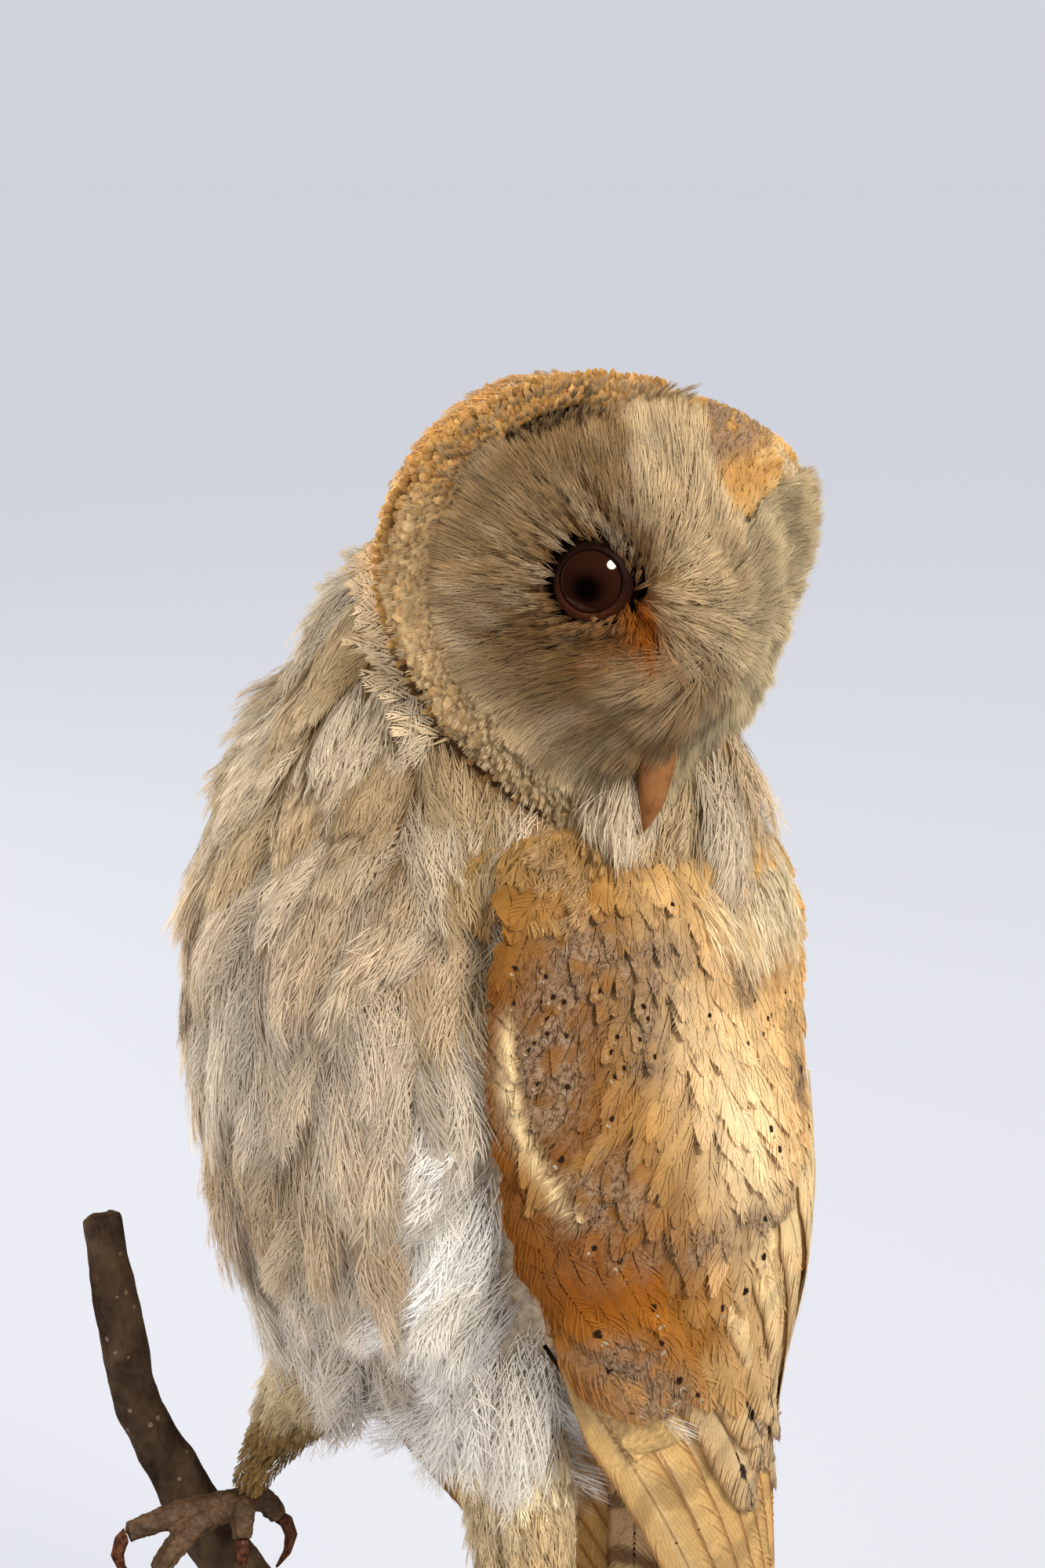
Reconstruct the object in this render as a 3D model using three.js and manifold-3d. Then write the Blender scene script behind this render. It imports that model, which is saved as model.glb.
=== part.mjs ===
// A life-size mounted barn owl on a forked branch with a turned wooden base, as a museum shows.
// Millimetres, +Z up. The origin is the centre of the base's underside. The owl's body faces -Y, its left
// side is +X, and its head is turned towards its left. Run with the npm packages three and manifold-3d.
import * as THREE from "three";
import { mergeVertices } from "three/addons/utils/BufferGeometryUtils.js";
import Module from "manifold-3d";

const wasm = await Module();
wasm.setup();

// ---------------------------------------------------------------- driving dimensions
const GAP = 0.4; // clearance between neighbouring pieces
const TOLERANCE = 0.12; // how far a cut surface may be simplified
const NECK_BASE = 300; // height of the parting between trunk and neck
const HEAD_HALF_WIDTH = 48; // facial disc, middle to rim
const HEAD_TOP = 42.3; // head centre up to the top of the disc's lobes
const HEAD_CHIN = 46; // head centre down to the chin
const RIDGE_FRONT = 39.5; // head centre to the crest between the half discs
const RIM_FRONT = -6; // head centre to the disc's rim at mid height
const OCCIPUT = 38; // head centre to the back of the head
const HEAD_CENTRE = new THREE.Vector3(24.4, 3.2, 339.3);
const HEAD_YAW = 75.7; // degrees from straight ahead towards the owl's left
const HEAD_PITCH = 10.7; // degrees that the face looks down
const HEAD_ROLL = 8.6; // degrees that the crown leans over
const EYE_RADIUS = 8.6;
const BASE_RADIUS = 82;
const BASE_HEIGHT = 20;

// ---------------------------------------------------------------- geometry helpers
const V = (x, y, z) => new THREE.Vector3(x, y, z);
const lerp = THREE.MathUtils.lerp;
const rad = THREE.MathUtils.degToRad;
const smooth = (t) => THREE.MathUtils.smoothstep(t, 0, 1);

// The triangles that close a ring which may be hollow on one side, turned the same way as the ring.
function cap(ring) {
  const middle = ring.reduce((sum, p) => sum.add(p), V(0, 0, 0)).divideScalar(ring.length);
  const normal = V(0, 0, 0);
  ring.forEach((p, i) => {
    const next = ring[(i + 1) % ring.length];
    normal.add(p.clone().sub(middle).cross(next.clone().sub(middle)));
  });
  const turn = new THREE.Quaternion().setFromUnitVectors(normal.normalize(), V(0, 0, 1));
  const flat = ring.map((p) => {
    const q = p.clone().sub(middle).applyQuaternion(turn);
    return new THREE.Vector2(q.x, q.y);
  });
  return THREE.ShapeUtils.triangulateShape(flat, []).map(([a, b, c]) => {
    const area = flat[b].clone().sub(flat[a]).cross(flat[c].clone().sub(flat[a]));
    return area > 0 ? [a, b, c] : [a, c, b];
  });
}

// A closed surface through rings of equally many points.
function ringSurface(rings) {
  const n = rings[0].length;
  const index = [];
  for (let k = 0; k + 1 < rings.length; k++) {
    for (let i = 0; i < n; i++) {
      const a = k * n + i;
      const b = k * n + ((i + 1) % n);
      index.push(a, b, b + n, a, b + n, a + n);
    }
  }
  const end = (rings.length - 1) * n;
  for (const [a, b, c] of cap(rings[0])) index.push(a, c, b);
  for (const [a, b, c] of cap(rings[rings.length - 1])) index.push(end + a, end + b, end + c);
  const geometry = new THREE.BufferGeometry().setFromPoints(rings.flat());
  geometry.setIndex(index);
  return outward(geometry);
}

function signedVolume(geometry) {
  const p = geometry.getAttribute("position");
  const index = geometry.index.array;
  const [a, b, c] = [V(), V(), V()];
  let sum = 0;
  for (let i = 0; i < index.length; i += 3) {
    a.fromBufferAttribute(p, index[i]);
    b.fromBufferAttribute(p, index[i + 1]);
    c.fromBufferAttribute(p, index[i + 2]);
    sum += a.dot(b.cross(c)) / 6;
  }
  return sum;
}

// The geometry with its faces turned to point out.
function outward(geometry) {
  if (signedVolume(geometry) < 0) {
    const index = geometry.index.array;
    for (let i = 0; i < index.length; i += 3) {
      [index[i + 1], index[i + 2]] = [index[i + 2], index[i + 1]];
    }
  }
  return geometry;
}

// Only positions, with shared vertices merged.
function merged(geometry) {
  const plain = geometry.index ? geometry.toNonIndexed() : geometry.clone();
  const bare = new THREE.BufferGeometry().setAttribute(
    "position",
    plain.getAttribute("position"),
  );
  return mergeVertices(bare, 1e-3);
}

function solid(geometry) {
  const g = merged(geometry);
  return new wasm.Manifold(
    new wasm.Mesh({
      numProp: 3,
      vertProperties: g.getAttribute("position").array,
      triVerts: new Uint32Array(g.index.array),
    }),
  );
}

function geometryOf(manifold) {
  const mesh = manifold.getMesh();
  const n = mesh.numProp;
  const points = [];
  for (let i = 0; i < mesh.numVert; i++) {
    points.push(V(...mesh.vertProperties.subarray(i * n, i * n + 3)));
  }
  const geometry = new THREE.BufferGeometry().setFromPoints(points);
  geometry.setIndex(new THREE.BufferAttribute(mesh.triVerts, 1));
  return geometry;
}

// The geometry with every face moved out. At a sharp edge the vertices move further, as in a mitre joint.
function inflated(geometry, by) {
  const g = merged(geometry);
  g.computeVertexNormals();
  const p = g.getAttribute("position");
  const n = g.getAttribute("normal");
  const index = g.index.array;
  const lean = new Float32Array(p.count).fill(1);
  const triangle = new THREE.Triangle();
  const [face, normal] = [V(), V()];
  for (let i = 0; i < index.length; i += 3) {
    triangle.setFromAttributeAndIndices(p, index[i], index[i + 1], index[i + 2]).getNormal(face);
    for (const v of index.slice(i, i + 3)) {
      lean[v] = Math.min(lean[v], face.dot(normal.fromBufferAttribute(n, v)));
    }
  }
  for (let v = 0; v < p.count; v++) {
    const step = by / Math.max(lean[v], 0.3);
    p.setXYZ(v, p.getX(v) + n.getX(v) * step, p.getY(v) + n.getY(v) * step, p.getZ(v) + n.getZ(v) * step);
  }
  return g;
}

function largest(manifold) {
  return manifold.decompose().reduce((best, piece) => (piece.volume() > best.volume() ? piece : best));
}

// The geometry less its neighbours, which keep a clearance all round. Crumbs are dropped.
function cutBy(geometry, ...neighbours) {
  let body = solid(geometry);
  for (const neighbour of neighbours) {
    body = body.subtract(solid(inflated(neighbour, GAP)));
  }
  return geometryOf(largest(largest(body).simplify(TOLERANCE)));
}

function joined(...geometries) {
  const whole = geometries.map(solid).reduce((sum, piece) => sum.add(piece));
  return geometryOf(whole.simplify(TOLERANCE));
}

// A round-sectioned limb along a smooth curve. Stations are [x, y, z, radius].
function limb(stations, sides, steps) {
  const curve = new THREE.CatmullRomCurve3(
    stations.map(([x, y, z]) => V(x, y, z)),
    false,
    "centripetal",
  );
  const frames = curve.computeFrenetFrames(steps, false);
  const rings = [];
  for (let k = 0; k <= steps; k++) {
    const t = k / steps;
    const centre = curve.getPoint(t);
    const at = t * (stations.length - 1);
    const i = Math.min(Math.floor(at), stations.length - 2);
    const radius = lerp(stations[i][3], stations[i + 1][3], at - i);
    const tangent = curve.getTangent(t);
    const side = frames.normals[k].clone();
    side.addScaledVector(tangent, -side.dot(tangent)).normalize();
    const up = tangent.clone().cross(side);
    rings.push(
      [...Array(sides).keys()].map((j) => {
        const angle = (j / sides) * 2 * Math.PI;
        return centre
          .clone()
          .addScaledVector(side, radius * Math.cos(angle))
          .addScaledVector(up, radius * Math.sin(angle));
      }),
    );
  }
  return ringSurface(rings);
}

// A smooth function through rows of [key, value, value, ...], returned as an array of values.
function table(rows) {
  const width = rows[0].length - 1;
  return (key) => {
    let i = 0;
    while (i < rows.length - 2 && (key - rows[i + 1][0]) * (rows[1][0] - rows[0][0]) > 0) i++;
    const [a, b] = [rows[i], rows[i + 1]];
    const [before, after] = [rows[Math.max(i - 1, 0)], rows[Math.min(i + 2, rows.length - 1)]];
    const t = THREE.MathUtils.clamp((key - a[0]) / (b[0] - a[0]), 0, 1);
    return [...Array(width).keys()].map((k) => {
      const slopeA = (b[k + 1] - before[k + 1]) / (b[0] - before[0]);
      const slopeB = (after[k + 1] - a[k + 1]) / (after[0] - a[0]);
      const d = b[0] - a[0];
      const [t2, t3] = [t * t, t * t * t];
      return (
        (2 * t3 - 3 * t2 + 1) * a[k + 1] +
        (t3 - 2 * t2 + t) * d * slopeA +
        (3 * t2 - 2 * t3) * b[k + 1] +
        (t3 - t2) * d * slopeB
      );
    });
  };
}

// ---------------------------------------------------------------- trunk and neck
// Rows of [height, middle in X, middle in Y, half width, half depth, exponent of the superellipse].
const bodySize = table([
  [128, 0, 54, 7, 6, 2],
  [140, 0, 46, 18, 15, 2.2],
  [158, 0, 29, 32, 29, 2.4],
  [172, 0, 14, 42, 43, 2.4],
  [190, 0, 2, 49, 56, 2.4],
  [215, 0, -2, 50, 61, 2.4],
  [245, 0, -6, 50, 62, 2.4],
  [272, -2, -8, 48, 60, 2.3],
  [287, -7, -9, 45, 54, 2.1],
  [302, -10, -10, 39, 44, 2],
  [318, -8, -9, 30, 32, 2],
  [336, -3, -6, 27, 29, 2],
  [350, 5, -2, 22, 22, 2],
]);

function bodySection(z, sides) {
  const [cx, cy, a, b, n] = bodySize(z);
  return [...Array(sides).keys()].map((i) => {
    const angle = (i / sides) * 2 * Math.PI;
    const [c, s] = [Math.cos(angle), Math.sin(angle)];
    const r = (Math.abs(c) ** n + Math.abs(s) ** n) ** (-1 / n);
    return V(cx + a * r * c, cy + b * r * s, z);
  });
}

// The stretch of the body between two heights.
function bodyPart(low, high, steps, sides) {
  const rings = [];
  for (let k = 0; k <= steps; k++) rings.push(bodySection(lerp(low, high, k / steps), sides));
  return ringSurface(rings);
}

// ---------------------------------------------------------------- head
// In the head's own frame the face looks along -Y, and the eyes are at height 0.
const headPose = new THREE.Matrix4()
  .makeRotationZ(rad(HEAD_YAW))
  .multiply(new THREE.Matrix4().makeRotationX(rad(HEAD_PITCH)))
  .multiply(new THREE.Matrix4().makeRotationY(rad(HEAD_ROLL)))
  .setPosition(HEAD_CENTRE);

// The disc's heart-shaped outline, as seen from the front. Angle 0 is the crown and pi the chin. The lobe
// over the left eye has sunk a little.
function discOutline(angle) {
  const side = Math.sin(angle);
  const up = Math.cos(angle);
  const fold = Math.min(angle, 2 * Math.PI - angle);
  const notch = 5 * Math.exp(-((fold / 0.38) ** 2));
  const sunk = 5 * Math.exp(-(((angle - 0.5) / 0.45) ** 2));
  const taper = up < 0 ? 1 - 0.16 * up * up : 1;
  const x = HEAD_HALF_WIDTH * side * taper * (1 + 0.05 * Math.abs(side) * up);
  const z = (up > 0 ? HEAD_TOP : HEAD_CHIN) * up - notch - sunk;
  return [x, z];
}

// How far forward the crest between the half discs stands at a height.
const crestFront = table([
  [-46, 20.5],
  [-34, 23],
  [-26, 27.5],
  [-20, 32],
  [-14, 35.8],
  [-6, 38.8],
  [0, RIDGE_FRONT],
  [10, 37],
  [20, 30],
  [30, 20],
  [43, 5],
]);

function rimFront(z) {
  const reach = z > 0 ? z / HEAD_TOP : z / HEAD_CHIN;
  const end = z > 0 ? 5 : 20.5;
  return lerp(RIM_FRONT, end, Math.min(reach * reach, 1));
}

function head() {
  const sides = 34;
  // Share of the way from the middle to the rim, and how far the surface stands proud of a straight line.
  const faceRings = [
    [0.08, 0],
    [0.22, -0.4],
    [0.36, -0.7],
    [0.5, -1.2],
    [0.66, -2.5],
    [0.8, -2.6],
    [0.9, 0.4],
    [0.97, 1.9],
    [1, 0],
  ];
  // Share of the outline, and share of the way back from the rim to the occiput.
  const skullRings = [
    [0.955, 0.12],
    [0.9, 0.3],
    [0.83, 0.54],
    [0.67, 0.78],
    [0.4, 0.94],
    [0.15, 0.99],
  ];
  const angles = [...Array(sides).keys()].map((i) => (i / sides) * 2 * Math.PI);
  const front = faceRings.map(([share, proud]) =>
    angles.map((angle) => {
      const [x, z] = discOutline(angle);
      const [crest] = crestFront(z * share);
      const across = Math.min(Math.abs(x) / HEAD_HALF_WIDTH, 1);
      const straight = lerp(crest, rimFront(z), share ** lerp(2.2, 1.1, across));
      return V(x * share, -(straight + proud * across), z * share);
    }),
  );
  const back = skullRings.map(([share, along]) =>
    angles.map((angle) => {
      const [x, z] = discOutline(angle);
      const domed = share ** lerp(1, 0.6, Math.max(Math.cos(angle), 0));
      return V(x * share, -lerp(rimFront(z), -OCCIPUT, along), z * domed);
    }),
  );
  return ringSurface([...front, ...back]);
}

// An eye is a ball whose front looks along its half of the disc.
function eye(side) {
  const ball = new THREE.SphereGeometry(EYE_RADIUS, 14, 10);
  return ball.translate(side * 15.9, -16.6, 4.2);
}

// The upper bill comes out from under the ridge and curves down to its hook.
function billUpper() {
  const stations = [
    [0, -19.5, -15, 4.3],
    [0, -25, -22, 4.2],
    [0, -27.2, -29, 3.9],
    [0, -28.2, -35.5, 2.8],
    [0, -27.3, -42.3, 0.6],
  ];
  return limb(stations, 10, 8).scale(0.85, 1, 1);
}

function billLower() {
  const stations = [
    [0, -16, -25, 3.4],
    [0, -21, -32, 3.1],
    [0, -23.5, -37.5, 1.5],
  ];
  return limb(stations, 8, 4);
}

// ---------------------------------------------------------------- wings
// Rows of [height, leading edge X, Y, trailing edge X, Y, bulge, depth] of the left wing's outer surface.
const wingShape = table([
  [295, 31, -35, 30, 33, 4, 8],
  [284, 41.5, -44.5, 34, 41, 9, 12],
  [250, 44.2, -48.4, 30, 55, 17, 13],
  [207, 47.5, -40, 19, 61, 26, 13],
  [171, 50, -19, 11, 62, 17, 6],
  [143, 46, 1, 7, 65, 12, 3.4],
  [100, 34, 30, 5, 75, 7, 2.8],
  [60, 20, 57, 4, 84, 3, 2.4],
  [32, 9, 77, 6, 86, 1, 1.8],
]);

// The wing's section at a height, between two shares of the way from its leading to its trailing edge. It
// is raised by lift, and its depth is a share of the table's.
function wingSection(z, from, to, lift, depthShare, count) {
  const [lx, ly, tx, ty, bulge, depth] = wingShape(z);
  const chord = new THREE.Vector2(tx - lx, ty - ly);
  const normal = new THREE.Vector2(chord.y, -chord.x).normalize();
  const control = new THREE.Vector2((lx + tx) / 2, (ly + ty) / 2).addScaledVector(normal, 2 * bulge);
  const curve = new THREE.QuadraticBezierCurve(
    new THREE.Vector2(lx, ly),
    control,
    new THREE.Vector2(tx, ty),
  );
  const outer = [];
  const inner = [];
  for (let i = 0; i <= count; i++) {
    const s = lerp(from, to, i / count);
    const p = curve.getPoint(s);
    const t = curve.getTangent(s);
    const n = new THREE.Vector2(t.y, -t.x);
    const rim = Math.sin((i / count) * Math.PI) ** 0.5;
    const thick = depth * depthShare * lerp(0.3, 1, rim);
    const raise = lift * lerp(0.5, 1, rim);
    outer.push(V(p.x + n.x * raise, p.y + n.y * raise, z));
    const drop = raise - thick;
    inner.unshift(V(p.x + n.x * drop, p.y + n.y * drop, z));
  }
  return [...outer, ...inner];
}

function wingArm() {
  const [low, high, steps] = [168, 295, 9];
  const rings = [];
  for (let k = 0; k <= steps; k++) {
    rings.push(wingSection(lerp(low, high, k / steps), 0, 1, 0, 1, 9));
  }
  return ringSurface(rings);
}

function wingPrimaries() {
  const [low, high, steps] = [32, 168 - GAP, 8];
  const rings = [];
  for (let k = 0; k <= steps; k++) {
    rings.push(wingSection(lerp(low, high, k / steps), 0, 1, 0, 1, 7));
  }
  return ringSurface(rings);
}

// The secondaries lie over the primaries' roots and end above the tail.
function wingSecondaries() {
  const [low, high, steps] = [136, 196, 5];
  const rings = [];
  for (let k = 0; k <= steps; k++) {
    const t = k / steps;
    const z = lerp(low, high, t);
    const [from, to] = [lerp(0.62, 0.3, smooth(t)), lerp(0.8, 0.97, smooth(2 * t))];
    rings.push(wingSection(z, from, to, 3, 0.6, 5));
  }
  return ringSurface(rings);
}

// ---------------------------------------------------------------- tail
function tail() {
  const [steps, half] = [6, 6];
  const rings = [];
  for (let k = 0; k <= steps; k++) {
    const t = k / steps;
    const [y, z] = [lerp(50, 66, t), lerp(150, 50, t)];
    const wide = lerp(13, 20, smooth(t));
    const thick = lerp(7, 2.4, t);
    const outer = [];
    const inner = [];
    for (let i = 0; i <= half; i++) {
      const a = lerp(-1, 1, i / half);
      const [arch, rise] = [-7 * a * a, 5 * a * a * t];
      outer.push(V(a * wide, y + arch + thick / 2, z + rise));
      inner.unshift(V(a * wide * 0.97, y + arch - thick / 2, z + rise));
    }
    rings.push([...outer, ...inner]);
  }
  return ringSurface(rings);
}

// ---------------------------------------------------------------- legs, feet and claws
const legStations = {
  right: [
    [-12.6, -29.6, 200, 14],
    [-14.7, -34.5, 183, 12.4],
    [-19.3, -40.5, 169, 9],
    [-24, -45.2, 159, 5.8],
    [-27.7, -48.9, 150, 4.1],
    [-29.2, -50.4, 144, 3.8],
  ],
  left: [
    [19, -20, 204, 15],
    [21.5, -21, 176, 12.5],
    [22.5, -20, 148, 10],
    [23, -19.5, 118, 8],
    [23, -19.5, 99, 5],
  ],
};

// Where the toes of each foot meet, above the branch, and the turn of the foot about Z.
const feet = {
  right: { at: V(-29.4, -51, 142.8), turn: 0 },
  left: { at: V(23, -19.5, 97), turn: -45 },
};

// Toes as [name, heading from straight ahead, reach, drop of the toe's end, claw length].
const toes = {
  right: [
    ["outer", 19, 25, 0.5, 12],
    ["middle", 6, 21, 8, 13],
    ["inner", -50, 8, 3.5, 8],
    ["hind", 197, 8, 5, 14],
  ],
  left: [
    ["outer", 34, 20, 6, 12],
    ["middle", 2, 22, 8, 13],
    ["inner", -30, 19, 6, 12],
    ["hind", 180, 12, 7, 13],
  ],
};

// A station on a toe's path: how far along its heading, how far down, and the radius there.
function toeStation(foot, heading) {
  const way = rad(heading + foot.turn);
  const { x, y, z } = foot.at;
  return (along, down, radius) => [
    x - along * Math.sin(way),
    y - along * Math.cos(way),
    z - down,
    radius,
  ];
}

function toe(foot, heading, reach, drop) {
  const station = toeStation(foot, heading);
  const stations = [
    station(-1, 0, 3.4),
    station(reach * 0.35, drop * 0.1 - 1, 3),
    station(reach * 0.7, drop * 0.45 - 1, 2.8),
    station(reach, drop, 2.1),
  ];
  return limb(stations, 7, 4);
}

function claw(foot, heading, reach, drop, length) {
  const station = toeStation(foot, heading);
  const stations = [
    station(reach - 1, drop - 0.7, 1.5),
    station(reach + length * 0.17, drop + length * 0.2, 1.7),
    station(reach + length * 0.17, drop + length * 0.56, 1.2),
    station(reach - length * 0.06, drop + length * 0.86, 0.35),
  ];
  return limb(stations, 6, 4);
}

// ---------------------------------------------------------------- branch and base
const branchLimb = [
  [-51.3, -68.3, 206, 4.2],
  [-49.1, -66.1, 183, 4.9],
  [-47.1, -64.1, 164, 4.9],
  [-41, -58, 146, 5.8],
  [-35.6, -52.4, 130, 6.3],
  [-21, -41, 107, 6.9],
  [1, -30, 92.5, 7.2],
  [23, -19.5, 86.5, 7.2],
  [54, -4, 83, 5.8],
];
const branchStem = [
  [-6, -33, 94, 7.4],
  [1, -30, 74, 8],
  [2, -23, 50, 8.8],
  [0, -16, 32, 9.8],
  [0, -12, BASE_HEIGHT - 4, 11.5],
];
const branchTwig = [
  [-45.5, -61.5, 160, 3],
  [-50.5, -66.5, 164.5, 1.7],
];

function branch() {
  return joined(limb(branchLimb, 9, 19), limb(branchStem, 9, 7), limb(branchTwig, 7, 2));
}

function base() {
  const edge = 4;
  const profile = [
    [0, 0],
    [BASE_RADIUS - 1, 0],
    [BASE_RADIUS, 1],
    [BASE_RADIUS, BASE_HEIGHT - edge - 2],
    [BASE_RADIUS - 1.5, BASE_HEIGHT - edge],
    [BASE_RADIUS - edge, BASE_HEIGHT - edge],
    [BASE_RADIUS - edge - 2, BASE_HEIGHT - 1.2],
    [BASE_RADIUS - edge - 4, BASE_HEIGHT],
    [0, BASE_HEIGHT],
  ];
  const lathe = new THREE.LatheGeometry(
    profile.map(([r, h]) => new THREE.Vector2(r, h)),
    32,
  );
  return lathe.rotateX(Math.PI / 2);
}

// ---------------------------------------------------------------- materials and assembly
const material = (color, roughness) =>
  new THREE.MeshStandardMaterial({ color, roughness, metalness: 0 });
const materials = {
  white: material(0xe3d9c4, 0.95),
  gold: material(0xc99a55, 0.9),
  face: material(0xcbb89a, 0.95),
  leg: material(0xc9ad78, 0.95),
  toe: material(0x8f7558, 0.7),
  claw: material(0x4a2a1c, 0.35),
  bill: material(0xc8916a, 0.4),
  eye: material(0x150c09, 0.05),
  bark: material(0x6d5138, 0.9),
  base: material(0x5b3a22, 0.5),
};

const owl = new THREE.Group();

function add(name, geometry, kind) {
  const mesh = new THREE.Mesh(geometry, materials[kind]);
  mesh.name = name;
  owl.add(mesh);
}

const mirrored = (geometry) => outward(merged(geometry).scale(-1, 1, 1));
const posed = (geometry) => merged(geometry).applyMatrix4(headPose);

// The nape is thick: the neck's long feathers stand over the shoulders and the top of the back.
const nape = new THREE.SphereGeometry(1, 28, 14).scale(46, 26, 26).translate(-2, 18, 298);
const neckShape = bodyPart(NECK_BASE + GAP, 350, 6, 28);
const headShape = posed(head());
const eyes = { left: posed(eye(1)), right: posed(eye(-1)) };
const bills = { upper: posed(billUpper()), lower: posed(billLower()) };

const baseShape = base();
const branchShape = cutBy(branch(), baseShape);
const wings = Object.fromEntries(
  ["left", "right"].map((side) => {
    const turn = side === "left" ? (g) => g : mirrored;
    const [arm, primaries, secondaries] = [wingArm(), wingPrimaries(), wingSecondaries()].map(turn);
    return [side, { arm, primaries, secondaries }];
  }),
);
const trunkShape = cutBy(
  bodyPart(128, NECK_BASE, 13, 28),
  headShape,
  bills.upper,
  bills.lower,
  wings.left.arm,
  wings.right.arm,
  nape,
);
add("stand_base", baseShape, "base");
add("branch", branchShape, "bark");
add("head", cutBy(headShape, eyes.left, eyes.right, bills.upper, bills.lower), "face");
add("eye_left", eyes.left, "eye");
add("eye_right", eyes.right, "eye");
add("bill_upper", bills.upper, "bill");
add("bill_lower", cutBy(bills.lower, bills.upper), "bill");
add("trunk", trunkShape, "white");
add("neck", cutBy(joined(neckShape, nape), headShape, bills.upper, bills.lower), "white");
add("tail", cutBy(tail(), trunkShape, wings.left.primaries, wings.right.primaries), "gold");

for (const side of ["left", "right"]) {
  const { arm, primaries, secondaries } = wings[side];
  add(`wing_${side}_arm`, cutBy(arm, headShape, bills.upper, bills.lower, neckShape, nape), "gold");
  add(`wing_${side}_primaries`, cutBy(primaries, trunkShape), "gold");
  add(`wing_${side}_secondaries`, cutBy(secondaries, arm, primaries), "gold");

  const foot = feet[side];
  const legShape = limb(legStations[side], 12, 7);
  const footShape = joined(
    ...toes[side].map(([, heading, reach, drop]) => toe(foot, heading, reach, drop)),
  );
  add(`foot_${side}`, cutBy(footShape, branchShape), "toe");
  add(`leg_${side}`, cutBy(legShape, trunkShape, footShape, branchShape), "leg");
  for (const [name, heading, reach, drop, length] of toes[side]) {
    const clawShape = claw(foot, heading, reach, drop, length);
    add(`claw_${side}_${name}`, cutBy(clawShape, footShape, branchShape), "claw");
  }
}

export default owl;
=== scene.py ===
"""A life-size mounted barn owl on a bare branch with a turned wooden base: the looks over the CAD frame.

Shapes are worked out in millimetres in the CAD's frame (+Z up, the owl's body faces -Y, its left is +X)
and become metres when a mesh is made.
"""

import math

import bpy
import numpy as np
from mathutils import Matrix, Vector
from mathutils.bvhtree import BVHTree


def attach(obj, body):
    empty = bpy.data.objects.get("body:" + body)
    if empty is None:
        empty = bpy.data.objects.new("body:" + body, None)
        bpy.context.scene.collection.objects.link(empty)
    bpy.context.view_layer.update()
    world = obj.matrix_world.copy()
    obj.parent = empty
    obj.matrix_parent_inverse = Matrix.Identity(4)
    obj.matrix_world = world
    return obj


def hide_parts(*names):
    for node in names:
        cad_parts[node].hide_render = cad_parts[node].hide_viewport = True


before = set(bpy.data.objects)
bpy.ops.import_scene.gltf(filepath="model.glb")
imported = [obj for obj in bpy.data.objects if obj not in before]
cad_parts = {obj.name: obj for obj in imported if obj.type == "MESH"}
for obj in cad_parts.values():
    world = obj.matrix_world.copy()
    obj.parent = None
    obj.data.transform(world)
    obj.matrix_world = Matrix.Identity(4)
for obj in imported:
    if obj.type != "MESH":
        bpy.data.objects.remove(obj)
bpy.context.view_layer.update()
MM = 0.001
SIDES = ((1, "left"), (-1, "right"))
rng = np.random.default_rng(11)

# ---------------------------------------------------------------- small helpers


def srgb(code):
    """Linear colour of a six-digit hex code."""
    c = np.array([int(code[i : i + 2], 16) / 255 for i in (0, 2, 4)])
    return np.where(c <= 0.04045, c / 12.92, ((c + 0.055) / 1.055) ** 2.4)


def linear(colour):
    """The linear colour of a hex code, or of colours that are linear already."""
    return srgb(colour) if isinstance(colour, str) else np.asarray(colour, float)


def unit(v):
    return v / np.maximum(np.linalg.norm(v, axis=-1, keepdims=True), 1e-9)


def dot(a, b):
    return (a * b).sum(-1, keepdims=True)


def step(low, high, value):
    """Smooth step from 0 at low to 1 at high."""
    t = np.clip((value - low) / (high - low), 0, 1)
    return t * t * (3 - 2 * t)


def mix(a, b, t):
    return a + (b - a) * t


def table(rows):
    """A smooth function through rows of [key, value, value, ...]."""
    rows = np.array(sorted(rows), float)
    keys, values = rows[:, 0], rows[:, 1:]
    last = len(keys) - 1

    def read(key):
        key = np.asarray(key, float)
        a = np.clip(np.searchsorted(keys, key, side="right") - 1, 0, last - 1)
        b, before, after = a + 1, np.maximum(a - 1, 0), np.minimum(a + 2, last)
        d = (keys[b] - keys[a])[..., None]
        t = np.clip((key - keys[a])[..., None] / d, 0, 1)
        slope_a = (values[b] - values[before]) / (keys[b] - keys[before])[..., None]
        slope_b = (values[after] - values[a]) / (keys[after] - keys[a])[..., None]
        t2, t3 = t * t, t * t * t
        return (
            (2 * t3 - 3 * t2 + 1) * values[a]
            + (t3 - 2 * t2 + t) * d * slope_a
            + (3 * t2 - 2 * t3) * values[b]
            + (t3 - t2) * d * slope_b
        )

    return read


WAVES = [(unit(rng.normal(size=(5, 3))), rng.uniform(0, 6.28, 5)) for _ in range(12)]


def wave(p, size, which=0):
    """Smooth unevenness from about -1 to 1 over lengths of about size."""
    directions, phases = WAVES[which]
    turns = (np.asarray(p) @ directions.T) * (2 * math.pi / size) * np.array([1, 0.8, 1.3, 0.6, 1.7])
    return np.sin(turns + phases).sum(-1) / 2.6


# ---------------------------------------------------------------- shapes shared with the CAD
HEAD_HALF_WIDTH, HEAD_TOP, HEAD_CHIN = 48, 42.3, 46
RIM_FRONT = -6
HEAD_CENTRE = (24.4, 3.2, 339.3)
HEAD_TURN = (75.7, 10.7, 8.6)  # yaw, pitch and roll in degrees
EYE = np.array([15.9, -16.6, 4.2])
EYE_RADIUS = 8.6
BASE_RADIUS, BASE_HEIGHT = 82, 20

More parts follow.
